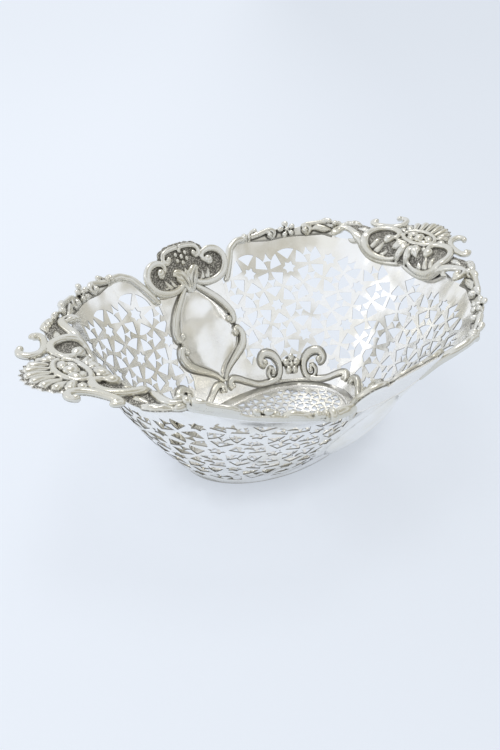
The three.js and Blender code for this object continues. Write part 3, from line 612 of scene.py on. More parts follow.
def welded(parts):
    """One set of points and faces from parts, with the points that meet made one."""
    points = np.vstack([part[0] for part in parts])
    starts = np.cumsum([0] + [len(part[0]) for part in parts])
    faces = np.vstack([part[1] + start for part, start in zip(parts, starts)])
    rounded = np.round(points / (0.01 * mm)).astype(int)
    _, first, renamed = np.unique(rounded, axis=0, return_index=True, return_inverse=True)
    return points[first], renamed.reshape(-1)[faces]


half_wall = welded([(points, faces), mirrored(points, faces, (1, -1, 1))])
for end, sign in (("right", 1), ("left", -1)):
    mesh = new_mesh("wall_" + end, *mirrored(*half_wall, (sign, 1, 1)))
    # Painted shade: the cut edges of the holes, the sheet's thickness, are darkened.
    mark(mesh, "shade_and_tarnish", cut_shade * np.concatenate([is_cut, is_cut]), "FACE")
    finish_piece("wall_" + end, ["pierced_wall_" + end], mesh, sheet_silver)

# Cartouche panels: a plain almond, pushed out from inside, on the strip of sheet that joins the
# two pierced halves. Raised silver sheet, polished like the walls, with one darker patch that is
# partly tarnish and partly painted shade.
panel_top = 68 * mm
panel_gap = 0.0006
patch_middle = (7, 32)
patch_size = (10, 18)
patch_shade = 0.3
almond_low = 12 * mm
almond_top = 67 * mm
almond_half = 20 * mm
almond_depth = 3.0 * mm


def grid_faces(rows, columns, start=0, closed=False):
    """Quads of a grid of points kept row by row."""
    row = np.arange(rows - 1)[:, None] * columns
    column = np.arange(columns if closed else columns - 1)[None, :]
    after = (column + 1) % columns
    quads = np.stack([row + column, row + after, row + columns + after, row + columns + column], -1)
    return quads.reshape(-1, 4) + start


def slab(upper, lower):
    """A closed sheet between two grids of points: two skins and a wall round their edges."""
    rows, columns = upper.shape[:2]
    points = np.vstack([upper.reshape(-1, 3), lower.reshape(-1, 3)])
    skin = rows * columns
    edge = np.concatenate(
        [
            np.arange(columns),
            np.arange(1, rows) * columns + columns - 1,
            (rows - 1) * columns + np.arange(columns - 1)[::-1],
            np.arange(1, rows - 1)[::-1] * columns,
        ]
    )
    after = np.roll(edge, -1)
    walls = np.stack([after, edge, edge + skin, after + skin], 1)
    faces = np.vstack([grid_faces(rows, columns), grid_faces(rows, columns, skin)[:, ::-1], walls])
    return points, faces


share_across, share_up = np.meshgrid(np.linspace(-1, 1, 61), np.linspace(0, 1, 71))
panel_level = wall_foot + share_up * (panel_top - wall_foot)
panel_angle = math.pi / 2 - share_across * (math.pi / 2 - joint_angle - panel_gap)
panel_x = wall_at(panel_angle, panel_level)[..., 0]

# The almond's half width is a skewed half sine of the height, and the bulge rises from its edge
# with the square root of the distance inside.
along = np.clip((panel_level - almond_low) / (almond_top - almond_low), 0, 1)
almond_width = almond_half * np.sin(np.pi * along**0.85) ** 0.75 + 0.1 * mm
inside = np.clip(1 - (panel_x / almond_width) ** 2, 0, 1)
bulge = almond_depth * inside**0.5 * np.sin(np.pi * along) ** 0.5
panel = slab(
    wall_at(panel_angle, panel_level, -sheet / 2 + bulge),
    wall_at(panel_angle, panel_level, sheet / 2 + bulge),
)
patch = (panel[0][:, [0, 2]] / mm - patch_middle) / patch_size
for side, sign in (("back", 1), ("front", -1)):
    mesh = new_mesh("panel_" + side, *mirrored(*panel, (1, sign, 1)))
    # One darker patch: tarnish with painted shade.
    mark(mesh, "shade_and_tarnish", patch_shade * np.exp(-np.sum(patch**2, 1)), "POINT")
    finish_piece("panel_" + side, ["cartouche_panel_" + side], mesh, sheet_silver)

# Base plate: a flat oval silver sheet with a raised ridge near its edge and a pierced middle like
# the walls, soldered inside the foot of the wall. Darker and duller than the walls: painted shade
# over the whole plate, more on its cut edges and its ridge.
base_spacing = 14.5 * mm
well_half = np.array([56.0, 32.6]) * mm
ridge_inset = 6.2 * mm
ridge_width = 2.6 * mm
ridge_height = 1.3 * mm
plate_top = 0.8 * mm
plate_edge_level = 0.9 * mm
plate_net = 4 * mm
plate_shade = 0.42
cut_more_shade = 0.1
ridge_shade = 0.35

turn = np.linspace(0, 2 * math.pi, 145)[:-1]
plate_outline = wall_at(turn, plate_edge_level)[:, :2]
well = [
    outline
    for outline in rosettes(base_spacing, np.zeros(2), 0.0)
    if np.all(np.sum((outline / well_half) ** 2, 1) < 1)
]
plate_points, plate_faces = pierced_faces(plate_outline, well, plate_net)
raised = np.column_stack([plate_points, np.full(len(plate_points), plate_top)])
plate = two_skins(raised, raised - [0, 0, plate_top], plate_faces, np.zeros(len(raised), bool))
ridge_angle, ridge_share = np.meshgrid(np.linspace(0, 2 * math.pi, 145), np.linspace(-1, 1, 9))
ridge_point, ridge_out = oval(ridge_angle)
ridge_plan = ridge_point - ridge_out * (ridge_inset + ridge_share * ridge_width / 2)[..., None]
ridge_level = plate_top + ridge_height * np.cos(ridge_share * math.pi / 2)
ridge_upper = np.concatenate([ridge_plan, ridge_level[..., None]], -1)
ridge_lower = np.concatenate([ridge_plan, np.full(ridge_level.shape + (1,), plate_top / 2)], -1)


def tube_ring(upper, lower):
    """A closed ring whose section is bounded by two rows of points that meet end to end."""
    section = np.concatenate([upper[:, :-1], lower[::-1, :-1]], 0)
    rows, columns = section.shape[:2]
    points = section.reshape(-1, 3)
    quads = grid_faces(rows, columns, closed=True)
    last = np.arange(columns)
    after = (last + 1) % columns
    closing = np.stack([(rows - 1) * columns + last, (rows - 1) * columns + after, after, last], 1)
    return points, np.vstack([quads, closing])[:, ::-1]


ridge_points, ridge_faces = tube_ring(ridge_upper, ridge_lower)
plate_list = plate[1].tolist() + (ridge_faces + len(plate[0])).tolist()
mesh = new_mesh("base", np.vstack([plate[0], ridge_points]), plate_list)
ridge_shades = np.full(len(ridge_faces), ridge_shade)
# Painted shade on the plate, more on its cut edges, and on the ridge.
mark(mesh, "shade_and_tarnish", np.concatenate([plate_shade + cut_more_shade * plate[2], ridge_shades]), "FACE")
finish_piece("base", ["base_plate"], mesh, sheet_silver)

# Inner base borders: four cast silver strips of scrolls, one for each quarter of the foot of the
# wall, each a flower between two volutes with a long tail to a small hook. Chased, and soldered to
# the wall inside. Their hollows and their foot on the sheet are darkened: tarnish and painted shade.
polished_back = (0.96, 0.95, 0.925, 1)
matted_top = (0.95, 0.93, 0.86, 1)
matted_pit = (0.22, 0.21, 0.19, 1)
back_hollow = -0.5
cast_silver, tree, output = new_material("cast_silver")
silver = place_silver(tree, bright=(0.78, 0.77, 0.72), dark=(0.08, 0.075, 0.065), shine=0.23, ripple=0.0)
position = add_node(tree, "ShaderNodeTexCoord").outputs["Object"]
shade_and_tarnish = add_node(tree, "ShaderNodeAttribute", attribute_name="shade_and_tarnish").outputs["Fac"]
ground = add_node(tree, "ShaderNodeAttribute", attribute_name="ground").outputs["Fac"]
is_back = spread(tree, shade_and_tarnish, back_hollow, -0.1, 1.0, 0.0)
colour = blend(tree, is_back, silver["Colour"], polished_back)
# The matted ground is darker in its pits than on its tops: tarnish with painted shade in the punch marks.
pits = add_node(tree, "ShaderNodeTexVoronoi", {"Vector": position, "Scale": 1350.0})
dot = spread(tree, pits.outputs["Distance"], 0.12, 0.6, 1.0, 0.0)
colour = blend(tree, ground, colour, blend(tree, dot, matted_pit, matted_top))
depth = add_node(tree, "ShaderNodeMath", {0: dot, 1: ground}, operation="MULTIPLY").outputs[0]
stipple = add_node(
    tree,
    "ShaderNodeBump",
    {"Height": depth, "Strength": 0.5, "Distance": 0.0003, "Normal": silver["Normal"]},
)
dull = spread(tree, ground, 0.0, 1.0, 0.0, 0.22)
rough = add_node(tree, "ShaderNodeMath", {0: silver["Roughness"], 1: dull})
metal(tree, output, colour, rough.outputs[0], stipple.outputs[0])

# A casting is first laid out flat: across, upward and lift above the sheet. Its parts are joined
# and softened like cast metal, and then carried onto the wall. Lengths in these layouts are in mm.
strand_sides = 14
strand_step = 0.7
groove_width = 0.45
skirt = 0.9
skirt_height = 0.45
soft_rounds = 3
soft_share = 0.6
back_rounds = 24
depth_rounds = {6: 0.22 * mm, 30: 0.55 * mm}
deepest_hollow = 0.85


def curve(points, steps):
    """A smooth line through points, with even steps along it: between two points it is a cubic,
    whose slope at each is half the step between that point's neighbours."""
    points = np.asarray(points, float) * mm
    padded = np.vstack([2 * points[0] - points[1], points, 2 * points[-1] - points[-2]])
    share = np.linspace(0, 1, 12, endpoint=False)[:, None]
    parts = []
    for a, b, c, d in zip(padded, padded[1:], padded[2:], padded[3:]):
        bend, twist = 2 * a - 5 * b + 4 * c - d, 3 * b - a - 3 * c + d
        parts.append(0.5 * (2 * b + (c - a) * share + bend * share**2 + twist * share**3))
    line = np.vstack(parts + [points[-1:]])
    length = np.concatenate([[0], np.cumsum(np.linalg.norm(np.diff(line, axis=0), axis=1))])
    even = np.linspace(0, length[-1], steps)
    return np.stack([np.interp(even, length, column) for column in line.T], 1), even


def sideways(line):
    """The direction square to a flat line at each of its points."""
    tangent = np.gradient(line, axis=0)
    tangent = tangent / np.linalg.norm(tangent, axis=1, keepdims=True)
    return np.stack([-tangent[:, 1], tangent[:, 0]], 1)


def spaced(values, share):
    """Values in mm, spread evenly along a line, at shares of its length."""
    values = np.atleast_1d(values)
    return np.interp(share, np.linspace(0, 1, len(values)), values) * mm


def strand(points, radii, lift, flat=1.0, groove=0.0):
    """A round cast strand along a line: circles square to it, whose radii are spread evenly along
    it and shrink to round ends. Lift is the height of its middle, flat squeezes its height, and
    a groove lowers the middle of its top."""
    rough_length = np.sum(np.linalg.norm(np.diff(np.asarray(points, float), axis=0), axis=1))
    line, along = curve(points, max(8, int(rough_length / strand_step)))
    radius = spaced(radii, along / along[-1])
    from_end = np.minimum(along, along[-1] - along)
    radius = radius * np.sqrt(np.clip(1 - np.clip(1 - from_end / radius, 0, 1) ** 2, 0.01, 1))
    turn = np.arange(strand_sides) * 2 * math.pi / strand_sides
    dip = 1 - groove * np.exp(-(((turn - math.pi / 2) / groove_width) ** 2))
    ring = radius[:, None] * dip[None, :]
    plan = line[:, None, :] + sideways(line)[:, None, :] * (ring * np.cos(turn))[..., None]
    rise = spaced(lift, along / along[-1])[:, None] + ring * np.sin(turn) * flat
    grid = np.concatenate([plan, rise[..., None]], -1)
    count, tip = len(line), len(line) * strand_sides
    shape = np.vstack([grid.reshape(-1, 3), grid[0].mean(0)[None], grid[-1].mean(0)[None]])
    here = np.arange(strand_sides)
    after = (here + 1) % strand_sides
    far = tip - strand_sides
    start = np.stack([after, here, np.full(strand_sides, tip)], 1)
    end = np.stack([far + here, far + after, np.full(strand_sides, tip + 1)], 1)
    return shape, grid_faces(count, strand_sides, closed=True).tolist() + start.tolist() + end.tolist()


def seated(points, radii, lift, groove=0.34):
    """A grooved strand with a low skirt of solder on each side, which stays dark: a painted shade
    outline, with tarnish, where the strand meets the sheet.
    """
    low = strand(points, np.asarray(radii) + skirt, 0.0)
    low[0][:, 2] = np.clip(low[0][:, 2], -skirt_height * mm, skirt_height * mm)
    return [strand(points, radii, lift, groove=groove), low]


def ball(across, upward, lift, radius, length=1.0, turn=0.0, flat=1.0):
    """A ball, or an egg drawn out by length along a turn in degrees: circles from pole to pole."""
    rows, columns = 9, 14
    fall, round_angle = np.meshgrid(
        np.linspace(0, math.pi, rows), np.arange(columns) * 2 * math.pi / columns, indexing="ij"
    )
    x = np.sin(fall) * np.cos(round_angle) * radius * length
    y = np.sin(fall) * np.sin(round_angle) * radius
    z = np.cos(fall) * radius * flat
    cos, sin = math.cos(math.radians(turn)), math.sin(math.radians(turn))
    grid = np.stack([across + x * cos - y * sin, upward + x * sin + y * cos, lift + z], -1) * mm
    return grid.reshape(-1, 3), grid_faces(rows, columns, closed=True).tolist()


def petals(across, upward, lift, reach, radius, count, first, core):
    """A flower: round petals about a middle, with a core ball."""
    parts = []
    for degrees in first + np.arange(count) * 360 / count:
        turn = math.radians(degrees)
        place = (across + reach * math.cos(turn), upward + reach * math.sin(turn))
        parts.append(ball(*place, lift, radius, 1.12, degrees, 0.8))
    return parts + [ball(across, upward, lift + 0.5, core)]


def both_sides(parts):
    """The parts and their mirror image across the middle line."""
    flipped = [(points * [-1, 1, 1], [list(face)[::-1] for face in faces]) for points, faces in parts]
    return list(parts) + flipped


def joined(parts):
    """All parts in one list of points and faces."""
    points, faces, start = [], [], 0
    for part_points, part_faces in parts:
        points.append(part_points)
        faces += [[index + start for index in face] for face in part_faces]
        start += len(part_points)
    return np.vstack(points), faces


def read_points(mesh, what="co"):
    """The places, or the normals, of a mesh's points as one array."""
    values = np.empty(len(mesh.vertices) * 3)
    mesh.vertices.foreach_get(what, values)
    return values.reshape(-1, 3)


def casting(name, parts, carry, ground_of, voxel, foot=0.7):
    """The parts carried to their place, fused into one skin, and softened by moving each point
    towards the mean of its neighbours. The attribute shade_and_tarnish is how far a place lies below
    its smoothed surroundings, or how near it is to the sheet below foot, which darkens it with
    tarnish and painted shade, and back_hollow on the back, which is smooth and polished like the sheet."""
    flat, faces = joined(parts)
    source = bpy.data.objects.new(name, new_mesh(name, carry(flat[:, 0], flat[:, 1], flat[:, 2]), faces))
    bpy.context.scene.collection.objects.link(source)
    fuse = source.modifiers.new("fuse", "REMESH")
    fuse.mode = "VOXEL"
    fuse.voxel_size = voxel * mm * 1
    mesh = bpy.data.meshes.new_from_object(source.evaluated_get(bpy.context.evaluated_depsgraph_get()))
    bpy.data.objects.remove(source)
    points = read_points(mesh)
    count = len(points)
    edges = np.empty(len(mesh.edges) * 2, int)
    mesh.edges.foreach_get("vertices", edges)
    first, second = edges.reshape(-1, 2).T
    degree = np.bincount(first, minlength=count) + np.bincount(second, minlength=count)

    def averaged(values):
        """The mean of each point's neighbours."""
        total = [
            np.bincount(first, column[second], count) + np.bincount(second, column[first], count)
            for column in values.T
        ]
        return np.stack(total, 1) / degree[:, None]

    for _ in range(soft_rounds):
        points = (1 - soft_share) * points + soft_share * averaged(points)
    mesh.vertices.foreach_set("co", points.ravel())
    mesh.update()
    normal = read_points(mesh, "normal")
    calm, depth = points, np.zeros(count)
    for done in range(1, max(depth_rounds) + 1):
        calm = averaged(calm)
        if done in depth_rounds:
            depth += np.sum((calm - points) * normal, 1) / depth_rounds[done]
    lift, ground = ground_of(points)
    is_front = np.clip((lift / mm + 0.4) / 0.3, 0, 1)
    for _ in range(back_rounds):
        points = points + soft_share * (1 - is_front[:, None]) * (averaged(points) - points)
    mesh.vertices.foreach_set("co", points.ravel())
    mesh.update()
    # Painted shade, with tarnish: the casting is darkened in its hollows and near the sheet.
    near_sheet = 0.8 * np.clip(1 - (lift / mm) / foot, 0, 1)
    shade_and_tarnish = np.maximum(np.clip(1.1 * depth, 0, deepest_hollow), near_sheet) * is_front
    shade_and_tarnish = shade_and_tarnish + back_hollow * (1 - is_front)
    mark(mesh, "shade_and_tarnish", averaged(shade_and_tarnish[:, None])[:, 0], "POINT")
    mark(mesh, "ground", ground * is_front, "POINT")
    return mesh


def angle_under(points):
    """Wall angle of points, found by halving: where the oval's outward line meets the point."""
    plan = np.abs(points[:, :2])
    low, high = np.zeros(len(points)), np.full(len(points), math.pi / 2)
    for _ in range(34):
        middle = (low + high) / 2
        base, out = oval(middle)
        past = (plan - base)[:, 0] * out[:, 1] - (plan - base)[:, 1] * out[:, 0] > 0
        low, high = np.where(past, low, middle), np.where(past, middle, high)
    base, out = oval(middle)
    return middle, np.sum((plan - base) * out, 1)


def lift_from_wall(points):
    """Height of points above the wall's middle surface, inwards: how far the wall stands out
    there, less how far they do, times the share of a slant that is upright."""
    angle, reach = angle_under(points)
    here = growth(points[:, 2]) + lip(angle, points[:, 2])
    return (here - reach) * rise_share


def bare_lift(points):
    """Lift from the inner skin, with no matted ground."""
    return lift_from_wall(points) - sheet / 2, np.zeros(len(points))


border_middle = math.radians(45.5)
border_level = 9 * mm
border_angles = np.linspace(0, math.pi / 2, 901)
border_line = wall_at(border_angles, border_level)
border_length = np.concatenate([[0], np.cumsum(np.linalg.norm(np.diff(border_line, axis=0), axis=1))])
border_zero = np.interp(border_middle, border_angles, border_length)


def onto_foot(across, upward, lift):
    """Flat border onto the wall: across is the arc length from the quarter's middle towards the
    end of the basket, upward the height, and lift goes inwards from the inner skin."""
    angle = np.interp(border_zero - across, border_length, border_angles)
    return wall_at(angle, np.maximum(upward, 0.5 * mm), -sheet / 2 - lift)


volute = [
    (17.6, 11.4), (20.4, 12.0), (21.0, 15.0), (17.8, 18.0), (12.8, 17.0),
    (9.2, 13.0), (8.5, 8.2), (10.4, 4.2), (13.8, 2.2),
]
end_tail = [
    (12.6, 2.6), (19, 2.2), (26.5, 3.8), (32.4, 6.9),
    (36.8, 8.9), (40.2, 8.5), (41.2, 6.4), (39.8, 5.2),
]
side_tail = [
    (-12.6, 2.6), (-20.5, 1.9), (-27, 2.6), (-34.3, 5.5), (-39.5, 8.2),
    (-44, 9.7), (-47.6, 8.6), (-48.2, 6.2), (-46.6, 5.0),
]
tail_radii = [1.6, 1.6, 1.4, 1.5, 1.7, 1.3]
small_curl = [(11.6, 3.4), (15.6, 3.6), (17.2, 6.4), (15.4, 9.4), (12.0, 9.0)]
scroll = seated(volute, [1.1, 1.6, 2.1, 2.2, 1.9, 1.7, 1.5], 1.2)
scroll += seated(small_curl, [0.9, 1.0, 1.0, 0.8], 0.9)
scroll += [ball(18.3, 13.2, 1.8, 2.0), ball(13.7, 6.9, 1.6, 1.6)]
border_parts = both_sides(scroll) + seated(end_tail, tail_radii, 1.0) + seated(side_tail, tail_radii, 1.0)
border_parts += [
    ball(38.9, 6.3, 1.4, 1.6),
    ball(-45.9, 6.3, 1.4, 1.6),
    ball(0, 10.2, 0.0, 5.7, 1.0, 0, 0.08),
    strand([(-13.6, 2.2), (-7, 1.5), (0, 1.4), (7, 1.5), (13.6, 2.2)], [1.2, 0.9, 0.8, 0.9, 1.2], 0.3),
]
border_parts += petals(0, 10.2, 1.4, 3.8, 2.2, 5, 90, 1.6)
border_mesh = casting("border", border_parts, onto_foot, bare_lift, voxel=0.3, foot=1.5)


def place_copies(name, node, mesh, copies):
    """Mirrored copies of a casting: each has a name ending and the signs of its mirror in x and y."""
    points = read_points(mesh)
    for ending, signs in copies:
        copy = mesh.copy()
        copy.name = name + ending
        copy.vertices.foreach_set("co", (points * np.array([*signs, 1])).ravel())
        if np.prod(signs) < 0:
            copy.flip_normals()
        copy.update()
        finish_piece(name + ending, [node + ending], copy, cast_silver, sharp=70)


quarters = [
    ("_back_right", (1, 1)),
    ("_back_left", (-1, 1)),
    ("_front_right", (1, -1)),
    ("_front_left", (-1, -1)),
]
place_copies("border", "base_border", border_mesh, quarters)

# Cartouche frames: four bold strokes round each almond panel, thick and knobbed where they curl
# in at the waist, drawn out thin at top and foot. Cast silver, soldered to the panel inside.


def angle_at_side(distance, level):
    """Wall angle, near the short axis, where the wall is a given distance along the basket."""
    distance, level = np.broadcast_arrays(distance, level)
    low, high = np.full(distance.shape, 0.3), np.full(distance.shape, math.pi - 0.3)
    for _ in range(36):
        middle = (low + high) / 2
        beyond = wall_at(middle, level)[..., 0] > distance
        low, high = np.where(beyond, middle, low), np.where(beyond, high, middle)
    return (low + high) / 2


def onto_side(across, upward, lift):
    """Flat layout onto the long side: across is the distance from the short axis, upward the
    height, and lift goes inwards from the inner skin."""
    return wall_at(angle_at_side(across, upward), upward, -sheet / 2 - lift)


upper_stroke = [
    (1.0, 70.0), (4.4, 66.0), (10.6, 60.8), (16.8, 55.0),
    (21.0, 49.6), (23.4, 44.6), (22.4, 40.8), (19.4, 41.0),
]
lower_stroke = [
    (20.0, 34.0), (23.2, 35.6), (25.2, 32.0), (22.8, 26.6),
    (16.8, 22.2), (9.8, 18.2), (4.4, 14.6), (0.3, 10.0),
]
upper_bead = [(2.5, 66.5), (8.4, 60.6), (14.4, 55.2), (18.4, 49.6), (20.2, 44.8)]
lower_bead = [(21.6, 31.4), (19.0, 27.0), (13.4, 23.4), (7.0, 19.4), (1.6, 15.0)]
bead_radii = [0.6, 0.7, 0.7, 0.6]
frame_parts = both_sides(
    seated(upper_stroke, [1.0, 1.4, 1.9, 2.2, 2.4, 2.4, 2.1, 1.8], [1.0, 1.1, 1.3, 1.4, 1.5, 1.5], 0.28)
    + seated(lower_stroke, [2.0, 2.3, 2.4, 2.2, 1.9, 1.5, 1.2, 0.9], [1.5, 1.5, 1.3, 1.1, 1.0], 0.28)
    + [ball(19.2, 42.0, 1.8, 2.4), ball(20.4, 33.6, 1.8, 2.5)]
    + [strand(upper_bead, bead_radii, 0.3), strand(lower_bead, bead_radii, 0.3)]
)
frame_mesh = casting("panel_frame", frame_parts, onto_side, bare_lift, voxel=0.36, foot=1.5)
two_sides = [("_back", (1, 1)), ("_front", (1, -1))]
place_copies("panel_frame", "cartouche_frame", frame_mesh, two_sides)

# Crests: a cast silver crest soldered in each notch of the rim, over the cartouche. Two scroll
# rings on a dark matted plate, a double leaf, seven berries, and an arch with a toothed edge.


def leaf(points, widths, lift, height, base=0.0, veins=0, lobes=0.0):
    """A leaf along a line: widths are spread along it, its top is a dome with a middle vein,
    and veins run out to scalloped edges of depth lobes."""
    line, along = curve(points, 40)
    share = along / along[-1]
    across = np.linspace(-1, 1, 15)
    scallop = 1 - lobes * np.abs(np.sin(math.pi * max(veins, 1) * share))
    half = (spaced(widths, share) / 2 * scallop)[:, None] * across[None, :]
    plan = line[:, None, :] + sideways(line)[:, None, :] * half[..., None]
    dome = np.sqrt(np.clip(1 - across**2, 0, 1)) - 0.35 * np.exp(-((across / 0.14) ** 2))
    slant = veins * share[:, None] + 0.8 * np.abs(across)[None, :]
    rib = 1 - (0.25 * np.abs(np.sin(math.pi * slant)) if veins else 0)
    body = np.sin(math.pi * np.clip(share, 0.04, 0.96)) ** 0.5
    top = spaced(lift, share)[:, None] + height * mm * dome[None, :] * rib * body[:, None]
    bottom = np.minimum(np.full_like(top, base * mm), top - 0.2 * mm)
    return plate_part(plan, top, bottom)


def plate_part(plan, upper, lower):
    """A plate over a grid of flat points, between an upper and a lower lift."""
    upper, lower = np.broadcast_to(upper, plan.shape[:2]), np.broadcast_to(lower, plan.shape[:2])
    points, faces = slab(np.dstack([plan, upper]), np.dstack([plan, lower]))
    return points, faces.tolist()


crest_widths = np.array(
    [[63.5, 8], [65.5, 17], [68, 23.5], [71, 27.5], [76, 29.5], [80, 28.5], [83, 25], [84.5, 19]]
)
crest_plate_lift = 0.9
matted_fade = 0.35
arch_half = (17.2, 7.4)
arch_middle = 83.6
arch_power = 2.6
arch_top = 1.0
arch_thick = 1.5
berry_middle = 83.2
level_grid, across_grid = np.meshgrid(np.linspace(63.5, 84.5, 22), np.linspace(-1, 1, 41), indexing="ij")
half_width = np.interp(level_grid, crest_widths[:, 0], crest_widths[:, 1])
plate_plan = np.stack([across_grid * half_width, level_grid], -1) * mm

# The arch: a squared oval, whose reach is 1 over the root of the summed powers of its sides.
arch_turn, arch_share = np.meshgrid(np.linspace(0, 2 * math.pi, 121), np.linspace(0, 1, 9), indexing="ij")
arch_teeth = 1.02 + 0.085 * (np.abs(np.sin(arch_turn * 9.5)) ** 0.7 - 0.5) * (np.sin(arch_turn) > -0.2)
arch_sum = np.abs(np.cos(arch_turn) / arch_half[0]) ** arch_power
arch_sum = arch_sum + np.abs(np.sin(arch_turn) / arch_half[1]) ** arch_power
arch_reach = arch_share * arch_teeth * arch_sum ** (-1 / arch_power)
arch_plan = np.stack([arch_reach * np.cos(arch_turn), arch_middle + arch_reach * np.sin(arch_turn)], -1)
ring_stroke = [
    (17.2, 77.4), (14.9, 79.8), (16.6, 82.6), (21.4, 83.9), (26.6, 82.8), (30.0, 79.2),
    (30.2, 74.6), (27.2, 70.0), (21.6, 66.9), (14.6, 65.8), (8.0, 66.8), (3.0, 69.4),
]
ring_radii = [1.4, 1.7, 2.0, 2.2, 2.3, 2.4, 2.4, 2.3, 2.1, 1.8, 1.2]
arch_stroke = [(9.4, 82.6), (12.0, 81.8), (14.0, 84.2), (12.4, 87.0), (8.4, 88.3), (3.6, 88.7), (0, 88.7)]
outer_leaf = [(1.2, 63.0), (2.4, 68.0), (4.6, 72.4), (8.0, 75.0), (10.6, 74.6)]
crest_parts = both_sides(
    [
        strand(ring_stroke, ring_radii, [2.0, 2.0, 1.9, 1.8, 1.8], groove=0.24),
        ball(19.2, 77.8, 2.0, 3.1, 1.0, 0, 0.8),
        strand([(6.0, 68.8), (13.0, 68.2), (19.4, 69.6)], [0.7, 0.8, 0.5], 1.2),
        leaf([(12.6, 66.8), (15.4, 69.6), (17.4, 73.6)], [2.4, 3.6, 2.4, 0.4], 1.0, 1.5),
        leaf([(9.8, 67.2), (11.8, 70.0), (12.6, 73.0)], [2.0, 2.6, 0.4], 1.0, 1.2),
        strand(arch_stroke, [1.4, 1.4, 1.5, 1.5, 1.5, 1.5], 1.9, groove=0.2),
        ball(9.8, 83.4, 2.2, 1.9),
        leaf(outer_leaf, [3.0, 5.6, 7.8, 8.6, 7.0, 1.0], [1.0, 1.4, 1.8, 1.5], 2.4),
    ]
)
crest_parts += [
    plate_part(plate_plan, crest_plate_lift * mm, -0.5 * mm),
    plate_part(arch_plan * mm, arch_top * mm, arch_top * mm - arch_thick * mm),
    leaf([(0, 77.0), (0, 73.0), (0, 68.0), (0, 62.4)], [1.0, 3.6, 5.4, 5.6, 3.0], [1.6, 1.5, 1.0], 2.6),
    ball(0, berry_middle, 2.2, 1.5),
]
crest_parts += [
    ball(4.3 * math.cos(turn), berry_middle + 3.4 * math.sin(turn), 2.0, 1.45)
    for turn in map(math.radians, range(30, 390, 60))
]


def matted(lift, lowest, highest):
    """1 where a matted plate lies, between two lifts in mm, and fading out above it."""
    return np.clip(1 - (lift / mm - highest) / matted_fade, 0, 1) * (lift > lowest * mm)


def crest_ground(points):
    """Lift above the matted plate, which is the ground of the whole crest."""
    lift = lift_from_wall(points) - sheet / 2
    return lift - crest_plate_lift * mm, matted(lift, 0.2, 1.05)


crest_mesh = casting("cast_crest", crest_parts, onto_side, crest_ground, voxel=0.34, foot=0.6)
place_copies("cast_crest", "crest", crest_mesh, two_sides)

# Rim borders: a cast silver wire over each corner of the rim, with a knuckle, two curled buds, a
# five-petalled flower and leaves along the lobe, soldered to the edge of the wall.
flower_angle = math.radians(43.6)
rim_angles = np.radians(np.linspace(16, 76, 1201))
rim_line = wall_at(rim_angles, rim_height(rim_angles))
rim_inward = wall_at(rim_angles, rim_height(rim_angles), -1 * mm) - rim_line
rim_inward = rim_inward / np.linalg.norm(rim_inward, axis=1, keepdims=True)
rim_tangent = np.gradient(rim_line, axis=0)
rim_tangent = rim_tangent / np.linalg.norm(rim_tangent, axis=1, keepdims=True)
rim_away = np.cross(rim_tangent, rim_inward)
rim_away = rim_away / np.linalg.norm(rim_away, axis=1, keepdims=True)
rim_length = np.concatenate([[0], np.cumsum(np.linalg.norm(np.diff(rim_line, axis=0), axis=1))])
rim_zero = np.interp(flower_angle, rim_angles, rim_length)
rim_rows = np.concatenate([rim_line, rim_away, rim_inward], 1)


def onto_rim(across, upward, lift):
    """Flat border onto the rim: across is the length along the edge from the flower towards the
    end, upward goes out past the edge in the plane of the wall, and lift goes inwards."""
    found = np.stack([np.interp(rim_zero - across, rim_length, column) for column in rim_rows.T], -1)
    return found[:, :3] + found[:, 3:6] * upward[:, None] + found[:, 6:] * lift[:, None]


corner_tube = [
    (-65.5, 0.8), (-60, 1.3), (-54, 1.7), (-48, 2.0),
    (-42, 2.2), (-36, 2.3), (-30.5, 2.2), (-27, 1.8),
]
first_tail = [
    (-27.5, 2.0), (-23.5, 2.8), (-19.0, 4.0), (-14.6, 5.6),
    (-10.0, 6.2), (-7.4, 4.2), (-8.4, 1.4), (-11.2, 0.4),
]
second_tail = [(13.0, 0.4), (16.4, 1.6), (16.8, 4.8), (13.6, 6.4), (10.4, 5.6)]
second_stroke = [(10.6, 5.2), (14.4, 6.8), (19.4, 7.0), (24.0, 7.2), (27.2, 7.8)]
rim_parts = [
    strand(corner_tube, [1.9, 2.3, 2.5, 2.6, 2.6, 2.6, 2.6, 2.4], 0.7, groove=0.1),
    ball(-28.6, 2.4, 0.9, 3.5, 0.5, 0),
    ball(-26.0, 2.4, 0.9, 3.1, 0.45, 0),
    strand(first_tail, [1.8, 1.8, 1.8, 1.9, 2.0, 1.8, 1.4, 1.0], 1.0, groove=0.2),
    strand([(-25.0, 4.2), (-23.4, 6.2), (-21.6, 6.8)], [1.2, 1.4, 1.5], 0.8),
    ball(-21.4, 6.8, 0.9, 1.9),
    ball(-11.2, 2.4, 1.7, 2.4),
    strand(second_tail, [1.0, 1.4, 1.7, 1.7, 1.2], 1.0, groove=0.2),
    ball(13.4, 2.6, 1.7, 2.5),
    strand(second_stroke, [1.3, 1.6, 1.5, 1.5, 1.6], 0.9, groove=0.2),
    ball(27.0, 8.6, 1.0, 2.1),
    leaf([(17.8, 2.8), (22.0, 3.8), (26.0, 2.6), (30.6, 3.6)], [1.0, 5.0, 4.8, 0.8], 0.8, 2.0, -0.3),
    ball(31.2, 8.4, 1.0, 2.1),
    strand([(17.0, 5.4), (22.0, 5.8), (28.0, 6.0), (32.0, 6.8)], [1.2, 1.5, 1.6, 1.4], 0.2),
]
rim_parts += petals(1.0, 4.2, 1.6, 3.9, 1.95, 5, 100, 1.5)
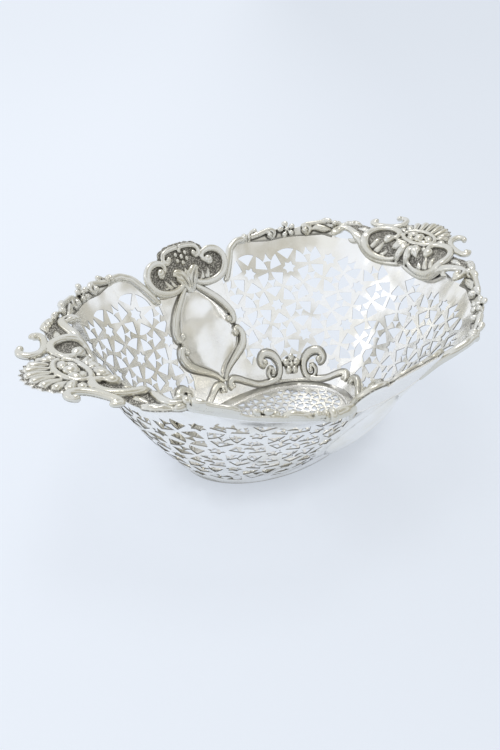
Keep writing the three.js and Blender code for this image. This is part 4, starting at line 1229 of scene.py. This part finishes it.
backing_outer = np.array(
    [
        [-34, 2.0], [-27, 3.0], [-21, 5.6], [-14, 6.8], [-9, 6.2],
        [0, 6.4], [7, 5.2], [13, 6.6], [24, 7.6], [33, 7.6],
    ]
)
backing_across, backing_share = np.meshgrid(np.linspace(-34, 33, 101), np.linspace(-0.2, 1, 9))
backing_up = backing_share * np.interp(backing_across, backing_outer[:, 0], backing_outer[:, 1])
backing_plan = np.stack([backing_across, backing_up], -1) * mm
rim_parts += [plate_part(backing_plan, 0.45 * mm, 0.45 * mm - 1.3 * mm)]


def rim_ground(points):
    """Lift from the wall, and no matted ground. Above the edge nothing is near the wall."""
    lift = lift_from_wall(points) - sheet / 2
    angle, _ = angle_under(points)
    on_wall = points[:, 2] < rim_height(angle) + 0.5 * mm
    return np.where(on_wall, lift, 0.6 * mm), np.zeros(len(points))


rim_mesh = casting("rim", rim_parts, onto_rim, rim_ground, voxel=0.36)
place_copies("rim", "rim_border", rim_mesh, quarters)

# End mounts: one large silver casting soldered on each end, where the wall bends over into a
# flange. A fluted shell with an oval rib, two volute rings with leaf tufts, a palmette, open
# scrolls on the outer edge, and a long scroll below, over a dark matted ground.
bend_height = 87.4 * mm
flange_slope = math.radians(13)
profile_run = np.arange(-40, 45, 0.25) * mm
wall_level = bend_height + np.minimum(profile_run, 0) * rise_share
flange_reach = growth(bend_height) + profile_run * math.cos(flange_slope)
flange_level = bend_height + profile_run * math.sin(flange_slope)
profile_reach = np.where(profile_run < 0, growth(wall_level), flange_reach)
profile_level = np.where(profile_run < 0, wall_level, flange_level)
bend_softening = np.hanning(29) / np.hanning(29).sum()


def softened(values):
    """A line of values with its corners rounded and its ends kept straight."""
    padded = np.concatenate([2 * values[0] - values[14:0:-1], values, 2 * values[-1] - values[-2:-16:-1]])
    return np.convolve(padded, bend_softening, "valid")


profile_reach, profile_level = softened(profile_reach), softened(profile_level)
profile_slope = np.arctan2(np.gradient(profile_level), np.gradient(profile_reach))
end_angles = np.linspace(0, math.radians(45), 1801)
end_arc = np.concatenate([[0], np.cumsum(np.linalg.norm(np.diff(oval(end_angles)[0], axis=0), axis=1))])
end_out = oval(end_angles)[1]
end_turn = np.arctan2(end_out[:, 1], end_out[:, 0])


def onto_end(across, upward, lift):
    """Flat mount onto the end: across is the arc length from the long axis, upward the length
    of the profile from the bend, out along the flange, and lift is square to the profile."""
    slope = np.interp(upward, profile_run, profile_slope)
    reach = np.interp(upward, profile_run, profile_reach)
    low, high = np.zeros(len(across)), np.full(len(across), end_angles[-1])
    for _ in range(34):
        middle = (low + high) / 2
        arc = np.interp(middle, end_angles, end_arc) + reach * np.interp(middle, end_angles, end_turn)
        short = arc < np.abs(across)
        low, high = np.where(short, middle, low), np.where(short, high, middle)
    point, out = oval(middle)
    plan = point + out * (reach - lift * np.sin(slope))[:, None]
    level = np.interp(upward, profile_run, profile_level) + lift * np.cos(slope)
    return np.stack([plan[:, 0], plan[:, 1] * np.sign(across), level], -1)


frame_line = np.array(
    [
        [0, -10.0], [7.9, -11.6], [15.3, -12.4], [23.1, -11.2], [29, -7],
        [33.6, -2], [40.5, 2.0], [47, 5.2], [51.6, 6.4],
    ]
)
outer_edge = np.array(
    [
        [0, 16], [15, 16], [20, 14.4], [24, 12.2], [29, 11.2],
        [34.6, 12.4], [40, 14.0], [46, 15], [52, 14.6], [57, 12.4],
    ]
)
inner_edge = np.array(
    [
        [0, -10], [8, -12], [15.3, -12.8], [23, -11.6], [28, -8.0],
        [34.2, -1.8], [41, 2.4], [47.6, 5.6], [52, 6.2], [57, 6.2],
    ]
)
mount_plate_lift = 1.3
ground_across, ground_share = np.meshgrid(np.linspace(-57, 57, 191), np.linspace(0, 1, 41))
ground_inner = np.interp(np.abs(ground_across), inner_edge[:, 0], inner_edge[:, 1])
ground_outer = np.interp(np.abs(ground_across), outer_edge[:, 0], outer_edge[:, 1])
ground_run = ground_inner + ground_share * (ground_outer - ground_inner)
ground_plan = np.stack([ground_across, ground_run], -1) * mm

# The shell's web: a fan of circles whose reach has small teeth, domed and rippled by the flutes.
shell_middle = 16.5
shell_turn, shell_share = np.meshgrid(
    np.radians(np.linspace(-20, 200, 221)), np.linspace(0.02, 1, 14), indexing="ij"
)
shell_teeth = 1 + 0.045 * (1 - np.abs(np.sin(shell_turn * 13)) * 2)
shell_reach = 19.0 * shell_teeth * shell_share
shell_up = shell_middle + shell_reach * np.sin(shell_turn)
shell_plan = np.stack([shell_reach * np.cos(shell_turn), shell_up], -1)
shell_rise = 1.0 + 0.6 * np.sin(math.pi * shell_share) + 0.35 * np.sin(shell_turn * 26) * shell_share


def flute(start, end, width):
    """One rounded flute of the shell, from its rib out to a blunt end."""
    radii = [width * 0.45, width * 0.7, width * 0.95, width]
    return strand([start, (start + end) / 2, end], radii, [1.8, 2.0, 1.4], 0.8)


end_ring = [
    (16.6, 3.4), (13.2, 5.4), (13.4, 10.0), (17.6, 13.0), (23.2, 13.8), (28.6, 11.2), (31.6, 5.6),
    (31.0, -0.6), (27.4, -6.0), (21.4, -9.4), (14.4, -10.2), (8.2, -9.0), (4.2, -6.4),
]
end_ring_radii = [1.6, 1.9, 2.1, 2.3, 2.4, 2.6, 2.7, 2.7, 2.6, 2.3, 2.0, 1.7, 1.3]
frame_scroll = [
    (50.2, 1.0), (53.0, 0.6), (54.6, 3.6), (52.4, 6.6), (47.6, 6.0), (41.0, 2.6),
    (34.2, -1.8), (29.2, -7.4), (22.8, -11.6), (15.2, -12.9), (7.9, -12.2), (1.5, -10.6),
]
frame_scroll_radii = [1.5, 1.8, 2.0, 2.0, 2.0, 2.0, 1.9, 1.9, 1.8, 1.6, 1.2]
outer_scroll = [
    (27.0, 26.4), (25.2, 28.6), (21.4, 27.8), (19.4, 24.0), (20.6, 19.6), (24.4, 16.8),
    (29.4, 15.6), (34.6, 15.6), (38.6, 17.6), (39.0, 20.4), (36.6, 21.2),
]
outer_scroll_radii = [1.5, 1.8, 2.0, 2.1, 2.2, 2.2, 2.1, 2.0, 1.8, 1.5, 1.2]
palmette = [(43.0, 13.0), (48.0, 13.8), (53.0, 12.2), (57.0, 9.4)]
middle_leaf = [(1.0, 2.6), (2.6, -1.6), (3.6, -5.6), (3.4, -10.4)]
mount_parts = both_sides(
    [
        strand(end_ring, end_ring_radii, [2.6, 2.5, 2.3, 2.2, 2.0], groove=0.22),
        ball(16.0, 2.6, 2.4, 3.3, 1.0, 0, 0.85),
        strand(frame_scroll, frame_scroll_radii, [2.4, 2.2, 1.8, 1.6, 1.6], groove=0.14),
        ball(50.6, 2.4, 2.6, 2.5),
        strand(outer_scroll, outer_scroll_radii, [2.4, 2.2, 2.1, 2.2, 2.4], groove=0.16),
        ball(26.2, 27.6, 2.6, 2.0),
        ball(37.0, 18.8, 2.6, 1.9),
        leaf([(22.0, -8.4), (19.4, -4.6), (17.4, 0.2)], [2.8, 4.8, 3.6, 0.8], 1.3, 1.6),
        leaf([(25.6, -5.6), (23.6, -2.0), (22.0, 2.4)], [2.4, 4.0, 3.0, 0.8], 1.3, 1.4),
        leaf([(17.6, -9.2), (14.8, -7.0), (12.8, -4.2)], [2.2, 3.6, 2.8, 0.8], 1.3, 1.3),
        leaf([(35.0, -1.4), (38.6, -2.6), (42.4, -1.6)], [2.0, 3.4, 2.6, 0.6], 1.3, 1.2),
        leaf([(1.6, 2.4), (5.6, 1.4), (10.4, -2.2)], [2.0, 5.8, 5.6, 1.0], 1.6, 3.0),
        leaf(palmette, [1.6, 6.4, 6.0, 2.0], 1.3, 2.8, 0.0, 4, 0.12),
        ball(58.4, 10.4, 2.2, 2.3),
        leaf([(33.4, 6.2), (37.4, 8.4), (43.0, 9.0)], [1.6, 4.2, 3.2, 0.8], 1.3, 1.7, 0.0, 3, 0.1),
        leaf([(12.6, 15.4), (15.4, 12.6), (16.4, 9.0)], [1.2, 2.6, 0.8], 1.3, 1.2),
    ]
)
mount_parts += [
    plate_part(ground_plan, mount_plate_lift * mm, 0.0),
    plate_part(shell_plan * mm, shell_rise * mm, -0.2 * mm),
]
mount_parts += both_sides([leaf(middle_leaf, [2.0, 5.0, 6.0, 4.6, 0.8], 1.8, 3.0)])
hinge = np.array([0, 12.4])
rib_turn = np.radians(np.arange(0, 361, 24))
rib = np.stack([11.4 * np.cos(rib_turn), hinge[1] + 7.2 * np.sin(rib_turn)], -1)
mount_parts += [strand(rib, [1.5] * 16, 2.6)]

# Each row: a fan's first and last turn, the middle and half widths of the oval on which its
# flutes end, and their width. All of them start on one oval, just outside the rib.
flute_start = (12.2, 8.0)
flute_fans = [
    (-12, 192, (0, shell_middle), (17.2, 17.2), 2.3),
    (202, 338, hinge, (16.6, 13.0), 1.5),
]
for first_turn, last_turn, fan_middle, fan_reach, flute_width in flute_fans:
    for flute_turn in np.radians(np.linspace(first_turn, last_turn, 12)):
        way = np.array([math.cos(flute_turn), math.sin(flute_turn)])
        mount_parts += [flute(hinge + flute_start * way, fan_middle + fan_reach * way, flute_width)]
mount_parts += [ball(*hinge, 2.0, 3.4, 1.3, 90, 0.9)]
mount_parts += both_sides(
    [
        ball(6.0, 14.0, 2.0, 2.7, 1.4, -28, 0.9),
        ball(5.2, 9.6, 2.0, 2.0, 1.6, 24, 0.9),
        ball(12.4, 19.4, 2.6, 1.9, 1.8, 62, 0.85),
    ]
)


def mount_ground(points):
    """Lift above the mount's plate, square to the nearest place of the profile, and the matted
    ground: the plate above the frame scroll."""
    angle, reach = angle_under(points)
    level = points[:, 2]
    best = np.full(len(points), np.inf)
    run = np.zeros(len(points))
    for at, far, high in zip(profile_run[::2], profile_reach[::2], profile_level[::2]):
        distance = (reach - far) ** 2 + (level - high) ** 2
        closer = distance < best
        best = np.where(closer, distance, best)
        run = np.where(closer, at, run)
    slope = np.interp(run, profile_run, profile_slope)
    lift = (level - np.interp(run, profile_run, profile_level)) * np.cos(slope)
    lift = lift - (reach - np.interp(run, profile_run, profile_reach)) * np.sin(slope)
    arc = np.interp(angle, end_angles, end_arc) + reach * np.interp(angle, end_angles, end_turn)
    inside = run / mm > np.interp(arc / mm, frame_line[:, 0], frame_line[:, 1])
    lift = lift - sheet / 2
    return lift - mount_plate_lift * mm, matted(lift, 0.6, 1.4) * inside


def onto_lifted_end(across, upward, lift):
    """The mount's own plate lies just above the wall's inner skin."""
    return onto_end(across, upward, lift + sheet / 2)


mount_mesh = casting("shell_mount", mount_parts, onto_lifted_end, mount_ground, voxel=0.4, foot=0.6)
ends = [("_right", (1, 1)), ("_left", (-1, 1))]
place_copies("shell_mount", "end_mount", mount_mesh, ends)

# Sizes: the CAD box and the box of the finished basket.
sizes = {"cad": cad_box, "visual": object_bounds()}
sizes = {key: [[float(number) for number in corner] for corner in box] for key, box in sizes.items()}
